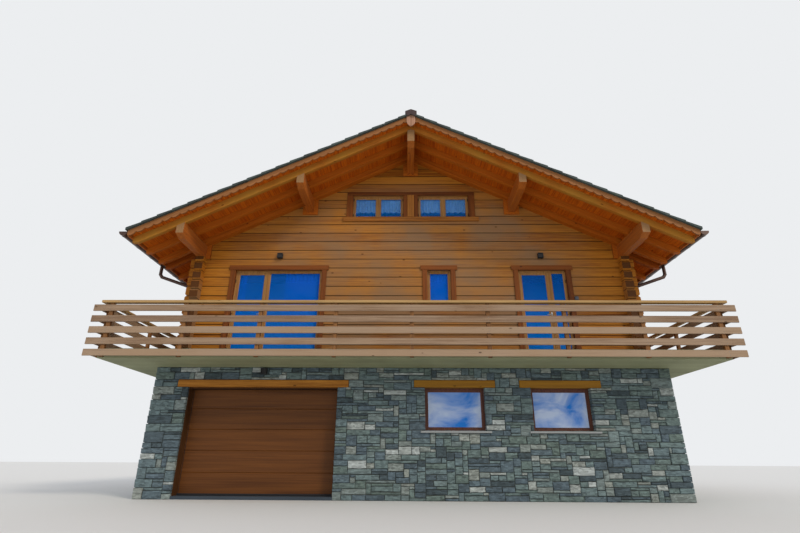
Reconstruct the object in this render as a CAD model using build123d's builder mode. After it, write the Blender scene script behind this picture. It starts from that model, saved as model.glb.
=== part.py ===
"""Alpine chalet: a stone ground storey, a concrete balcony slab and a log house under a wide purlin roof.

Millimetres. X runs along the gable front, Y towards the rear, Z up. The origin lies on the lowest
ground, in the middle of the plan.
"""

import os
from collections import namedtuple
from math import pi, sin

from build123d import *

os.makedirs("parts", exist_ok=True)

# Stone ground storey
stone_width = 11300
stone_depth = 9600
stone_wall = 380
floor_slab = 60
ground_storey = 2600

# Concrete slab that carries the log house and runs on as a balcony
deck_slab = 200
deck_front = 1020
deck_side = 790

# Log storey: squared logs, halved into each other at the corners
log_inset = 350
log_setback = 200
log_thick = 200
log_course = 240
log_stub = 180
eave_half_courses = 21
groove_depth = 12
groove_half = 9
end_bevel = 40
attic_floor_thick = 160
attic_floor_drop = 20

# Roof
roof_rise = 0.5
eave_overhang = 970
gable_overhang = 1600
purlin_width = 170
purlin_height = 290
ridge_purlin_height = 420
purlin_spacing = 2600
purlin_tuck = 250
undercut_run = 190
undercut_rise = 70
rafter_width = 100
rafter_drop = 180
inner_rafter_bays = 12
wall_rafter_gap = 25
fly_rafter_tuck = 20
trim_rafter_gap = 10
rafter_tail_run = 130
rafter_tail_rise = 50
board_drop = 35
batten_drop = 45
tile_drop = 60
tile_courses = 20
tile_step = 25
tile_reach = 30
verge_reach = 60
eave_board = 25
eave_board_drop = 60
ridge_cap_half = 140
ridge_cap_thick = 100

# Bargeboards with a scalloped lower edge
barge_thick = 30
barge_cusp_drop = 108
scallop_count = 35
scallop_depth = 44
scallop_chords = 4
pendant_width = 210
pendant_height = 340
pendant_shoulder = 0.6
pendant_belly = 0.84
pendant_belly_half = 0.66
pendant_thick = 25

# Gutters and downpipes
gutter_radius = 95
gutter_wall = 4
gutter_clearance = 12
pipe_radius = 40
pipe_elbow = 55
pipe_y = 270
pipe_drop = 270
pipe_fall = 0.35
pipe_wall_gap = 60

# Railing of flat slats fixed outside posts on the slab's edge
post_width = 80
post_depth = 70
front_post_bays = 8
side_post_bays = 6
corner_post_inset = 100
slat_thick = 30
slat_height = 138
slat_pitch = 236
slat_count = 5
slat_first = 32
front_slat_reach = 160
rail_height = 955
rail_cap = 55
rail_cap_width = 130
cap_proud = 15
post_foot = 20
rail_end_gap = 30

# Openings, each placed from the corner of its wall or from the middle
door_height = 2220
left_door_inset = 980
left_door_width = 2130
left_leaf_width = 800
right_door_inset = 1520
right_door_width = 1160
right_leaf_width = 770
middle_window_x = 685
middle_window_width = 570
twin_window_width = 1160
rear_window_inset = 2700
side_window_inset = 2400
window_height = 820
ground_window_width = 1320
ground_window_inset = 1750
ground_window_gap = 980
ground_window_sill = 1275
ground_window_head = 2175
attic_window_height = 640
attic_window_width = 1310
attic_window_gap = 380
attic_roof_gap = 150
garage_inset = 725
garage_width = 3320
garage_height = 2170
leaf_border = 90
fixed_border = 50
attic_border = 60
small_border = 60
twin_border = 70
ground_border = 75
frame_depth = 70
frame_setback = 60
frame_lip = 14
glass_thick = 24
stone_frame_setback = 140

# Casings, lintels and sills
casing_width = 120
casing_thick = 30
casing_head_reach = 45
lintel_bearing = 225
lintel_height = 155
lintel_proud = 32
sill_height = 40
sill_reach = 90
sill_proud = 60
gable_trim_thick = 40
attic_case_side = 160
attic_case_head = 100
attic_case_foot = 120
attic_case_reach = 85
attic_post_proud = 20
purlin_casing = 110

# Garage door
garage_frame_width = 28
garage_frame_setback = 60
garage_leaf_thick = 42
garage_leaf_setback = 265
garage_leaf_clearance = 5
garage_panels = 5
panel_groove = 10

# Wall lamps
lamp_width = 130
lamp_height = 125
lamp_depth = 90
lamp_above_door = 370
lamp_above_garage = 120

# Levels and edges worked out from the sizes above
stone_x = stone_width / 2
stone_y = stone_depth / 2
deck_base = floor_slab + ground_storey
deck_top = deck_base + deck_slab
deck_x = stone_x + deck_side
deck_y = stone_y + deck_front
log_x = stone_x - log_inset
log_y = stone_y - log_setback
log_mid_x = log_x - log_thick / 2
log_mid_y = log_y - log_thick / 2
stub_x = log_x + log_stub
stub_y = log_y + log_stub
wall_top = deck_top + eave_half_courses * log_course / 2
low_purlin_x = log_mid_x
mid_purlin_x = low_purlin_x - purlin_spacing
rafter_base = wall_top + purlin_height + roof_rise * low_purlin_x
board_base = rafter_base + rafter_drop
batten_base = board_base + board_drop
tile_base = batten_base + batten_drop
roof_top = tile_base + tile_drop
roof_x = log_x + eave_overhang
roof_y = log_y + gable_overhang
barge_y = roof_y - verge_reach
board_y = barge_y - barge_thick
purlin_y = roof_y - purlin_tuck
board_x = roof_x - tile_reach
rafter_x = board_x - eave_board
garage_head = floor_slab + garage_height
garage_x = garage_inset + garage_width / 2 - stone_x
left_door_x = left_door_inset + left_door_width / 2 - log_x
right_door_x = log_x - right_door_inset - right_door_width / 2
rear_window_x = log_x - rear_window_inset
side_window_x = log_y - side_window_inset
last_ground_window_x = stone_x - ground_window_inset - ground_window_width / 2
first_ground_window_x = last_ground_window_x - ground_window_width - ground_window_gap
attic_window_x = (attic_window_gap + attic_window_width) / 2
attic_case_x = attic_window_x + attic_window_width / 2 + attic_case_side
attic_head = rafter_base - roof_rise * attic_case_x - attic_roof_gap - attic_case_head

Opening = namedtuple("Opening", "x width sill head panes")
Pane = namedtuple("Pane", "start end border")


def whole(width, border):
    """One pane across an opening."""
    return [Pane(0, width, border)]


def pair(width, border):
    """Two equal panes side by side."""
    return [Pane(0, width / 2, border), Pane(width / 2, width, border)]


door_head = deck_top + door_height
window_sill = door_head - window_height
ground_sill = floor_slab + ground_window_sill
ground_head = floor_slab + ground_window_head
attic_left = Opening(-attic_window_x, attic_window_width, attic_head - attic_window_height,
                     attic_head, pair(attic_window_width, attic_border))
attic_right = attic_left._replace(x=attic_window_x)
left_door = Opening(left_door_x, left_door_width, deck_top, door_head,
                    [Pane(0, left_leaf_width, leaf_border),
                     Pane(left_leaf_width, left_door_width, fixed_border)])
right_door = Opening(right_door_x, right_door_width, deck_top, door_head,
                     [Pane(0, right_leaf_width, leaf_border),
                      Pane(right_leaf_width, right_door_width, fixed_border)])
middle_window = Opening(middle_window_x, middle_window_width, window_sill, door_head,
                        whole(middle_window_width, small_border))
twin_window = Opening(0, twin_window_width, window_sill, door_head, pair(twin_window_width, twin_border))
ground_window = Opening(0, ground_window_width, ground_sill, ground_head,
                        whole(ground_window_width, ground_border))


def placed(opening, places):
    """The same opening at several places along its wall."""
    return [opening._replace(x=place) for place in places]


front_doors = [left_door, right_door]
front_windows = [middle_window, attic_left, attic_right]
rear_twins = placed(twin_window, (-rear_window_x, rear_window_x))
rear_windows = rear_twins + [attic_left, attic_right]
side_windows = placed(twin_window, (-side_window_x, side_window_x))
front_ground_windows = placed(ground_window, (first_ground_window_x, last_ground_window_x))
rear_ground_windows = placed(ground_window, (-rear_window_x, rear_window_x))
side_ground_windows = placed(ground_window, (-side_window_x, side_window_x))


def roof_z(x, apex):
    """Height at x of a roof plane whose apex is at the given level."""
    return apex - roof_rise * abs(x)


OUTWARD = {"front": 1, "rear": -1, "right": 1, "left": -1}


def face_plane(side, distance):
    """Elevation plane at a distance from the middle, with Z up and X or Y across."""
    if side in ("front", "rear"):
        return Plane.XZ.offset(OUTWARD[side] * distance)
    return Plane.YZ.offset(OUTWARD[side] * distance)


def cut_openings(openings, lintel=0, sill=0):
    """Cut the openings of a wall, and the seats of lintels and sills, out of the open elevation."""
    for opening in openings:
        with Locations((opening.x, (opening.sill + opening.head) / 2)):
            Rectangle(opening.width, opening.head - opening.sill, mode=Mode.SUBTRACT)
        if lintel:
            with Locations((opening.x, opening.head + lintel / 2)):
                Rectangle(opening.width + 2 * lintel_bearing, lintel, mode=Mode.SUBTRACT)
        if sill:
            with Locations((opening.x, opening.sill - sill / 2)):
                Rectangle(opening.width + 2 * sill_reach, sill, mode=Mode.SUBTRACT)


def course_joints(first, top):
    """Levels of the joints between courses."""
    levels = []
    level = first
    while level < top - log_course / 4:
        levels.append(level)
        level += log_course
    return levels


def nicked_edge(place, inward, bottom, top, joints, depth, half):
    """Points up one edge of a log wall, nicked at every joint."""
    points = [(place, bottom)]
    for joint in joints:
        points.append((place, joint - half))
        points.append((place + inward * depth, joint))
        points.append((place, joint + half))
    return points + [(place, top)]


def log_ends(reach, top, joints):
    """Elevation of stacked logs whose ends are bevelled at every joint."""
    left = nicked_edge(-reach, 1, deck_top, top, joints, end_bevel, end_bevel)
    right = nicked_edge(reach, -1, deck_top, top, joints, end_bevel, end_bevel)
    return left + right[::-1]


def log_section(outer, inner, top, joints):
    """Section of stacked logs, grooved at every joint on the outer face and planed flat inside."""
    inward = 1 if inner > outer else -1
    grooved = nicked_edge(outer, inward, deck_top, top, joints, groove_depth, groove_half)
    return grooved + [(inner, top), (inner, deck_top)]


def purlin_outline(x, height, side_margin=0, foot_margin=0, apex=rafter_base):
    """Cross-section of a purlin, its top cut to the slope, or the same with a margin round it."""
    bottom = roof_z(x, rafter_base) - height - foot_margin
    half = purlin_width / 2 + side_margin
    top = [(x + half, roof_z(x + half, apex))]
    if x == 0:
        top.append((0, apex))
    top.append((x - half, roof_z(x - half, apex)))
    return [(x - half, bottom), (x + half, bottom)] + top


gable_purlins = [(0, ridge_purlin_height), (-mid_purlin_x, purlin_height), (mid_purlin_x, purlin_height)]
purlin_inner_x = low_purlin_x - purlin_width / 2
gable_joints = course_joints(deck_top + log_course / 2, board_base)
stub_joints = course_joints(deck_top + log_course / 2, wall_top)
side_joints = course_joints(deck_top + log_course, wall_top)
# At a corner the gable logs keep the middle half of each course, and the side logs keep the rest
gable_bands = [(max(joint - 3 * log_course / 4, deck_top), joint - log_course / 4)
               for joint in stub_joints + [wall_top]]
side_bands = list(zip([band[1] for band in gable_bands],
                      [band[0] for band in gable_bands[1:]] + [wall_top]))


def cut_bands(place, bands):
    """Cut the other wall's share of both corner joints out of the open elevation."""
    for corner in (-place, place):
        for low, high in bands:
            with Locations((corner, (low + high) / 2)):
                Rectangle(log_thick, high - low, mode=Mode.SUBTRACT)


def gable_wall(side, openings):
    """Log gable wall with stubs past the corners and slots for the purlins."""
    outer = -OUTWARD[side] * log_y
    inner = -OUTWARD[side] * (log_y - log_thick)
    gable = [(-purlin_inner_x, wall_top), (-purlin_inner_x, roof_z(purlin_inner_x, board_base)),
             (0, board_base), (purlin_inner_x, roof_z(purlin_inner_x, board_base)),
             (purlin_inner_x, wall_top)]
    with BuildPart() as wall:
        with BuildSketch(Plane.YZ):
            Polygon(*log_section(outer, inner, board_base, gable_joints), align=None)
        extrude(amount=stub_x, both=True)
        with BuildSketch(Plane.XZ):
            Polygon(*log_ends(stub_x, wall_top, stub_joints), align=None)
            Polygon(*gable, align=None)
            cut_openings(openings)
            cut_bands(log_mid_x, side_bands)
            for x, height in gable_purlins:
                Polygon(*purlin_outline(x, height), align=None, mode=Mode.SUBTRACT)
        extrude(amount=stone_depth, both=True, mode=Mode.INTERSECT)
    return wall.part


def side_wall(side, openings):
    """Log side wall with stubs past both gables, and windows."""
    outer = OUTWARD[side] * log_x
    inner = OUTWARD[side] * (log_x - log_thick)
    with BuildPart() as wall:
        with BuildSketch(Plane.XZ):
            Polygon(*log_section(outer, inner, wall_top, side_joints), align=None)
        extrude(amount=stub_y, both=True)
        with BuildSketch(Plane.YZ):
            Polygon(*log_ends(stub_y, wall_top, side_joints), align=None)
            cut_openings(openings)
            cut_bands(log_mid_y, gable_bands)
        extrude(amount=stone_width, both=True, mode=Mode.INTERSECT)
    return wall.part


def stone_wall_part(side, distance, length, openings, doorways=()):
    """Stone wall of the ground storey, with seats for lintels and sills cut through it."""
    with BuildPart() as wall:
        with BuildSketch(face_plane(side, distance)):
            with Locations((0, deck_base / 2)):
                Rectangle(length, deck_base)
            cut_openings(openings, lintel_height, sill_height)
            cut_openings(doorways, lintel_height)
        extrude(amount=-OUTWARD[side] * stone_wall)
    return wall.part


def window_frames(walls):
    """Frames of the openings of one or more walls, each with a set-back sash round its glass."""
    with BuildPart() as frames:
        for side, distance, openings in walls:
            for opening in openings:
                left = opening.x - opening.width / 2
                middle = (opening.sill + opening.head) / 2
                height = opening.head - opening.sill
                with BuildSketch(face_plane(side, distance)):
                    with Locations((opening.x, middle)):
                        Rectangle(opening.width, height)
                    for pane in opening.panes:
                        with Locations((left + (pane.start + pane.end) / 2, middle)):
                            Rectangle(pane.end - pane.start - 2 * pane.border,
                                      height - 2 * pane.border, mode=Mode.SUBTRACT)
                extrude(amount=-OUTWARD[side] * frame_depth)
                with BuildSketch(face_plane(side, distance)):
                    for pane in opening.panes:
                        with Locations((left + (pane.start + pane.end) / 2, middle)):
                            Rectangle(pane.end - pane.start - pane.border, height - pane.border)
                extrude(amount=-OUTWARD[side] * frame_lip, mode=Mode.SUBTRACT)
    return frames.part


def window_glass(walls):
    """Panes of glass in the middle of the frames' depth."""
    with BuildPart() as glass:
        for side, distance, openings in walls:
            for opening in openings:
                left = opening.x - opening.width / 2
                with BuildSketch(face_plane(side, distance - (frame_depth - glass_thick) / 2)):
                    for pane in opening.panes:
                        with Locations((left + (pane.start + pane.end) / 2,
                                        (opening.sill + opening.head) / 2)):
                            Rectangle(pane.end - pane.start - 2 * pane.border,
                                      opening.head - opening.sill - 2 * pane.border)
                extrude(amount=-OUTWARD[side] * glass_thick)
    return glass.part


def opening_bars(walls, height, above, reach, proud):
    """Lintels over the openings, or sills under them, through the stone and proud of it."""
    with BuildPart() as pieces:
        for side, distance, openings in walls:
            with BuildSketch(face_plane(side, distance + proud)):
                for opening in openings:
                    level = opening.head + height / 2 if above else opening.sill - height / 2
                    with Locations((opening.x, level)):
                        Rectangle(opening.width + 2 * reach, height)
            extrude(amount=-OUTWARD[side] * (stone_wall + proud))
    return pieces.part


def casings(walls, gable):
    """Flat boards round the openings of the log walls; doors have none at the foot.

    One board frame goes round both attic windows, with a wide middle post under the ridge.
    """
    with BuildPart() as boards:
        for side, openings in walls:
            for opening in openings:
                wide = opening.width + 2 * casing_width
                with BuildSketch(face_plane(side, log_y if side in ("front", "rear") else log_x)):
                    with Locations((opening.x, (opening.sill + opening.head) / 2)):
                        Rectangle(wide, opening.head - opening.sill)
                    with Locations((opening.x, opening.head + casing_width / 2)):
                        Rectangle(wide + 2 * casing_head_reach, casing_width)
                    if opening.sill > deck_top:
                        with Locations((opening.x, opening.sill - casing_width / 2)):
                            Rectangle(wide + 2 * casing_head_reach, casing_width)
                    with Locations((opening.x, (opening.sill + opening.head) / 2)):
                        Rectangle(opening.width, opening.head - opening.sill, mode=Mode.SUBTRACT)
                extrude(amount=OUTWARD[side] * casing_thick)
        low, high = attic_left.sill - attic_case_foot, attic_left.head + attic_case_head
        with BuildSketch(face_plane(gable, log_y)):
            with Locations((0, (low + high) / 2)):
                Rectangle(2 * attic_case_x, high - low)
            with Locations((0, low + attic_case_foot / 2)):
                Rectangle(2 * (attic_case_x + attic_case_reach), attic_case_foot)
            cut_openings([attic_left, attic_right])
        extrude(amount=OUTWARD[gable] * casing_thick)
        with BuildSketch(face_plane(gable, log_y + casing_thick)):
            with Locations((0, (attic_left.sill + attic_left.head) / 2)):
                Rectangle(purlin_width, attic_left.head - attic_left.sill)
        extrude(amount=OUTWARD[gable] * attic_post_proud)
    return boards.part


def gable_trims():
    """Boards that close each log gable against the soffit and round the purlins."""
    low_inner = purlin_inner_x - purlin_casing
    with BuildPart() as boards:
        for side in ("front", "rear"):
            with BuildSketch(face_plane(side, log_y)):
                Polygon((-purlin_inner_x, roof_z(purlin_inner_x, board_base)), (0, board_base),
                        (purlin_inner_x, roof_z(purlin_inner_x, board_base)),
                        (purlin_inner_x, roof_z(purlin_inner_x, rafter_base)), (0, rafter_base),
                        (-purlin_inner_x, roof_z(purlin_inner_x, rafter_base)), align=None)
                for x, height in gable_purlins:
                    Polygon(*purlin_outline(x, height, purlin_casing, purlin_casing / 2, board_base),
                            align=None)
                for corner in (-1, 1):
                    Polygon((corner * purlin_inner_x, wall_top),
                            (corner * purlin_inner_x, roof_z(purlin_inner_x, board_base)),
                            (corner * low_inner, roof_z(low_inner, board_base)),
                            (corner * low_inner, wall_top), align=None)
                for x, height in gable_purlins:
                    Polygon(*purlin_outline(x, height), align=None, mode=Mode.SUBTRACT)
            extrude(amount=OUTWARD[side] * gable_trim_thick)
    return boards.part


def purlin(x, height):
    """Squared roof beam with its top on the roof's slope and both ends undercut."""
    foot = roof_z(x, rafter_base) - height
    with BuildPart() as beam:
        with BuildSketch(Plane.XZ):
            Polygon(*purlin_outline(x, height), align=None)
        extrude(amount=purlin_y, both=True)
        with BuildSketch(Plane.YZ):
            Polygon((-purlin_y + undercut_run, foot), (-purlin_y, foot + undercut_rise),
                    (-purlin_y, board_base), (purlin_y, board_base),
                    (purlin_y, foot + undercut_rise), (purlin_y - undercut_run, foot), align=None)
        extrude(amount=stone_width, both=True, mode=Mode.INTERSECT)
    return beam.part


def slope_strip(side, apex_low, apex_high, end):
    """Outline of a layer of one roof slope, from the ridge to a plumb cut."""
    return [(0, apex_low), (side * end, roof_z(end, apex_low)),
            (side * end, roof_z(end, apex_high)), (0, apex_high)]


def rafters(side):
    """All rafters of one slope, side by side on the purlins."""
    inner_y = log_y - log_thick - wall_rafter_gap - rafter_width / 2
    places = [-inner_y + 2 * inner_y * bay / inner_rafter_bays for bay in range(inner_rafter_bays + 1)]
    trim_y = log_y + gable_trim_thick + trim_rafter_gap + rafter_width / 2
    fly_y = purlin_y - fly_rafter_tuck - rafter_width / 2
    for outer_y in (trim_y, (trim_y + fly_y) / 2, fly_y):
        places += [-outer_y, outer_y]
    tail_x = rafter_x - rafter_tail_run
    tail_foot = roof_z(rafter_x, rafter_base) + rafter_tail_rise
    outline = [(0, rafter_base), (side * tail_x, roof_z(tail_x, rafter_base)),
               (side * rafter_x, tail_foot), (side * rafter_x, roof_z(rafter_x, board_base)),
               (0, board_base)]
    with BuildPart() as timbers:
        for place in sorted(places):
            with BuildSketch(Plane.XZ.offset(-place)):
                Polygon(*outline, align=None)
            extrude(amount=rafter_width / 2, both=True)
    return timbers.part


def tile_profile(side):
    """Outline of the tiles of one slope, stepped at the foot of every course."""
    points = [(0, tile_base), (side * roof_x, roof_z(roof_x, tile_base))]
    for course in range(tile_courses, 0, -1):
        foot = roof_x * course / tile_courses
        head = roof_x * (course - 1) / tile_courses
        points.append((side * foot, roof_z(foot, roof_top)))
        points.append((side * head, roof_z(head, roof_top) - tile_step))
    return points


def tile_layer(side):
    """Tiles of one slope over the space of their battens, which the bargeboards close."""
    with BuildPart() as layer:
        with BuildSketch(Plane.XZ):
            Polygon(*tile_profile(side), align=None)
        extrude(amount=roof_y, both=True)
        with BuildSketch(Plane.XZ):
            Polygon(*slope_strip(side, batten_base, tile_base, rafter_x), align=None)
        extrude(amount=board_y, both=True)
    return layer.part


def slope_layer(outline, half_length):
    """One layer of the roof, the same from gable to gable."""
    with BuildPart() as layer:
        with BuildSketch(Plane.XZ):
            Polygon(*outline, align=None)
        extrude(amount=half_length, both=True)
    return layer.part


def scalloped_edge():
    """Points along the lower edge of a pair of bargeboards: a row of rounded lobes."""
    cusp_apex = tile_base - barge_cusp_drop
    lobe = board_x / scallop_count
    points = []
    for number in range(-scallop_count, scallop_count):
        for chord in range(scallop_chords):
            share = chord / scallop_chords
            x = (number + share) * lobe
            points.append((x, roof_z(x, cusp_apex) - scallop_depth * sin(pi * share) ** 0.7))
    return points + [(board_x, roof_z(board_x, cusp_apex))]


def bargeboard(side):
    """Pair of boards that close the roof's edge, their lower edge cut in a row of scallops."""
    with BuildPart() as boards:
        with BuildSketch(face_plane(side, board_y)):
            Polygon(*scalloped_edge(), (board_x, roof_z(board_x, tile_base)), (0, tile_base),
                    (-board_x, roof_z(board_x, tile_base)), align=None)
        extrude(amount=OUTWARD[side] * barge_thick)
    return boards.part


def pendants():
    """Shield-shaped board hung over the joint of the bargeboards at each end of the ridge."""
    half = pendant_width / 2
    shoulder = tile_base - pendant_shoulder * pendant_height
    with BuildPart() as shields:
        for side in ("front", "rear"):
            with BuildSketch(face_plane(side, barge_y)):
                with BuildLine():
                    Polyline((-half, shoulder), (-half, roof_z(half, tile_base)), (0, tile_base),
                             (half, roof_z(half, tile_base)), (half, shoulder))
                    for edge in (-1, 1):
                        ThreePointArc((edge * half, shoulder),
                                      (edge * half * pendant_belly_half,
                                       tile_base - pendant_belly * pendant_height),
                                      (0, tile_base - pendant_height))
                make_face()
            extrude(amount=OUTWARD[side] * pendant_thick)
    return shields.part


def gutter(side):
    """Half-round gutter closed at both ends, hung against the eave board."""
    with BuildPart() as channel:
        with BuildSketch(Plane.XZ):
            with Locations((side * gutter_x, gutter_rim)):
                Circle(gutter_radius)
                Circle(gutter_radius - gutter_wall, mode=Mode.SUBTRACT)
            with Locations((side * gutter_x, gutter_rim + gutter_radius)):
                Rectangle(2 * gutter_radius, 2 * gutter_radius, mode=Mode.SUBTRACT)
        extrude(amount=barge_y, both=True)
        for end in (-1, 1):
            with BuildSketch(Plane.XZ.offset(-end * (barge_y - gutter_wall / 2))):
                with Locations((side * gutter_x, gutter_rim)):
                    Circle(gutter_radius)
                with Locations((side * gutter_x, gutter_rim + gutter_radius)):
                    Rectangle(2 * gutter_radius, 2 * gutter_radius, mode=Mode.SUBTRACT)
            extrude(amount=gutter_wall / 2, both=True)
    return channel.part


def elbows(points):
    """Route through the same corners, each cut off to two blunt mitres."""
    route = [points[0]]
    for before, corner, after in zip(points, points[1:], points[2:]):
        for near in (before, after):
            step = (Vector(*near) - Vector(*corner)).normalized() * pipe_elbow
            route.append((corner[0] + step.X, corner[1] + step.Y))
    return route + [points[-1]]


def downpipe(side):
    """Pipe from the gutter back to the side wall in a swan neck, and down to the slab."""
    outlet = gutter_rim - gutter_radius
    wall_x = log_x + pipe_wall_gap + pipe_radius
    first = outlet - pipe_drop
    second = first - pipe_fall * (gutter_x - wall_x)
    corners = [(side * gutter_x, outlet), (side * gutter_x, first),
               (side * wall_x, second), (side * wall_x, deck_top)]
    with BuildPart() as pipe:
        with BuildLine(Plane.XZ.offset(log_y - pipe_y)) as route:
            Polyline(*elbows(corners))
        with BuildSketch(Plane(origin=route.line @ 0, z_dir=route.line % 0)):
            Circle(pipe_radius)
        sweep(path=route.line, transition=Transition.RIGHT)
    return pipe.part


def railing(side, distance, runs, bays):
    """Straight railing: posts on the slab's edge, flat slats outside them and a cap.

    Each run gives the ends of its row of posts, of its slats and of its cap.
    """
    foot = deck_base + post_foot
    cap_base = deck_top + rail_height
    slat_face = distance + post_depth
    with BuildPart() as rails:
        for posts, slats, cap in runs:
            with BuildSketch(face_plane(side, distance)):
                for post in range(bays + 1):
                    with Locations((posts[0] + (posts[1] - posts[0]) * post / bays, (foot + cap_base) / 2)):
                        Rectangle(post_width, cap_base - foot)
            extrude(amount=OUTWARD[side] * post_depth)
            with BuildSketch(face_plane(side, slat_face)):
                for slat in range(slat_count):
                    level = deck_base + slat_first + slat_height / 2 + slat * slat_pitch
                    with Locations(((slats[0] + slats[1]) / 2, level)):
                        Rectangle(slats[1] - slats[0], slat_height)
            extrude(amount=OUTWARD[side] * slat_thick)
            with BuildSketch(face_plane(side, slat_face + slat_thick + cap_proud)):
                with Locations(((cap[0] + cap[1]) / 2, cap_base + rail_cap / 2)):
                    Rectangle(cap[1] - cap[0], rail_cap)
            extrude(amount=-OUTWARD[side] * rail_cap_width)
    return rails.part


def save(part, name):
    """Label a finished piece and write its file."""
    part.label = name
    export_step(part, f"parts/{name}.step")


# Concrete floor of the ground storey, running out through the garage doorway
with BuildPart() as ground_floor:
    with BuildSketch(Plane.XY):
        Rectangle(stone_width - 2 * stone_wall, stone_depth - 2 * stone_wall)
        with Locations((garage_x, -stone_y + stone_wall / 2)):
            Rectangle(garage_width, stone_wall)
    extrude(amount=floor_slab)
save(ground_floor.part, "ground_floor")

# Stone walls: front and rear run the full width, the sides stand between them
garage = Opening(garage_x, garage_width, 0, garage_head, [])
side_length = stone_depth - 2 * stone_wall
save(stone_wall_part("front", stone_y, stone_width, front_ground_windows, [garage]), "stone_front_wall")
save(stone_wall_part("rear", stone_y, stone_width, rear_ground_windows), "stone_rear_wall")
save(stone_wall_part("left", stone_x, side_length, side_ground_windows), "stone_left_wall")
save(stone_wall_part("right", stone_x, side_length, side_ground_windows), "stone_right_wall")

# Timber lintels and stone sills
other_ground = [("rear", stone_y, rear_ground_windows), ("left", stone_x, side_ground_windows),
                ("right", stone_x, side_ground_windows)]
save(opening_bars([("front", stone_y, [garage] + front_ground_windows)] + other_ground,
                  lintel_height, True, lintel_bearing, lintel_proud), "lintels")
save(opening_bars([("front", stone_y, front_ground_windows)] + other_ground,
                  sill_height, False, sill_reach, sill_proud), "window_sills")

# Garage: timber linings on the reveals, and a leaf of hinged panels behind them
leaf_face = stone_y - garage_leaf_setback
with BuildPart() as garage_frame:
    with BuildSketch(face_plane("front", leaf_face)):
        with Locations((garage_x, (floor_slab + garage_head) / 2)):
            Rectangle(garage_width, garage_head - floor_slab)
        with Locations((garage_x, (floor_slab + garage_head - garage_frame_width) / 2)):
            Rectangle(garage_width - 2 * garage_frame_width,
                      garage_head - floor_slab - garage_frame_width, mode=Mode.SUBTRACT)
    extrude(amount=garage_leaf_setback - garage_frame_setback)
save(garage_frame.part, "garage_frame")

leaf_width = garage_width - 2 * garage_leaf_clearance
leaf_base = floor_slab + garage_leaf_clearance
leaf_height = garage_head - garage_leaf_clearance - leaf_base
panel_joints = [leaf_base + leaf_height * joint / garage_panels for joint in range(1, garage_panels)]
with BuildPart() as garage_door:
    with BuildSketch(Plane.YZ.offset(garage_x)):
        Polygon(*nicked_edge(-leaf_face, 1, leaf_base, leaf_base + leaf_height, panel_joints,
                             panel_groove, panel_groove),
                (-leaf_face + garage_leaf_thick, leaf_base + leaf_height),
                (-leaf_face + garage_leaf_thick, leaf_base), align=None)
    extrude(amount=leaf_width / 2, both=True)
save(garage_door.part, "garage_door")

# Concrete slab: floor of the log storey and balcony on three sides
with BuildPart() as balcony_slab:
    with BuildSketch(Plane.XY.offset(deck_base)):
        with Locations((0, (stone_y - deck_y) / 2)):
            Rectangle(2 * deck_x, stone_y + deck_y)
    extrude(amount=deck_slab)
save(balcony_slab.part, "balcony_slab")

# Log walls, halved into each other where they cross
save(gable_wall("front", front_doors + front_windows), "front_log_wall")
save(gable_wall("rear", rear_windows), "rear_log_wall")
save(side_wall("left", side_windows), "left_log_wall")
save(side_wall("right", side_windows), "right_log_wall")

# Floor of the attic, between the log walls
with BuildPart() as attic_floor:
    with BuildSketch(Plane.XY.offset(wall_top - attic_floor_drop)):
        Rectangle(2 * (log_x - log_thick), 2 * (log_y - log_thick))
    extrude(amount=-attic_floor_thick)
save(attic_floor.part, "attic_floor")

# Doors and windows
save(window_frames([("front", log_y - frame_setback, [left_door])]), "left_balcony_door")
save(window_frames([("front", log_y - frame_setback, [right_door])]), "right_balcony_door")
save(window_frames([("front", log_y - frame_setback, front_windows)]), "upper_window_frames")
front_ground = ("front", stone_y - stone_frame_setback, front_ground_windows)
save(window_frames([front_ground]), "ground_window_frames")
save(window_glass([("front", log_y - frame_setback, front_doors + front_windows), front_ground]),
     "front_glass")
other_glazed = [("rear", log_y - frame_setback, rear_windows),
                ("rear", stone_y - stone_frame_setback, rear_ground_windows)]
for side in ("left", "right"):
    other_glazed.append((side, log_x - frame_setback, side_windows))
    other_glazed.append((side, stone_x - stone_frame_setback, side_ground_windows))
save(window_frames(other_glazed), "other_window_frames")
save(window_glass(other_glazed), "other_glass")

# Casings on the log walls
save(casings([("front", front_doors + [middle_window])], "front"), "front_casings")
save(casings([("rear", rear_twins), ("left", side_windows), ("right", side_windows)], "rear"),
     "other_casings")
save(gable_trims(), "gable_trims")

# Roof timbers
save(purlin(0, ridge_purlin_height), "ridge_purlin")
save(purlin(-mid_purlin_x, purlin_height), "mid_purlin_left")
save(purlin(mid_purlin_x, purlin_height), "mid_purlin_right")
save(purlin(-low_purlin_x, purlin_height), "low_purlin_left")
save(purlin(low_purlin_x, purlin_height), "low_purlin_right")
gutter_x = board_x + gutter_radius
gutter_rim = roof_z(roof_x, tile_base) - gutter_clearance
for name, side in (("left", -1), ("right", 1)):
    save(rafters(side), f"rafters_{name}")
    save(slope_layer(slope_strip(side, board_base, batten_base, rafter_x), board_y), f"roof_boards_{name}")
    save(tile_layer(side), f"roof_tiles_{name}")
    save(gutter(side), f"gutter_{name}")
    save(downpipe(side), f"downpipe_{name}")

# Boards on the rafters' ends, up to the tiles, which carry the gutters
eave_board_foot = roof_z(rafter_x, board_base) - eave_board_drop
with BuildPart() as eave_boards:
    for side in (-1, 1):
        with BuildSketch(Plane.XZ):
            Polygon((side * rafter_x, eave_board_foot), (side * board_x, eave_board_foot),
                    (side * board_x, roof_z(board_x, tile_base)),
                    (side * rafter_x, roof_z(rafter_x, tile_base)), align=None)
        extrude(amount=board_y, both=True)
save(eave_boards.part, "eave_boards")

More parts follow.
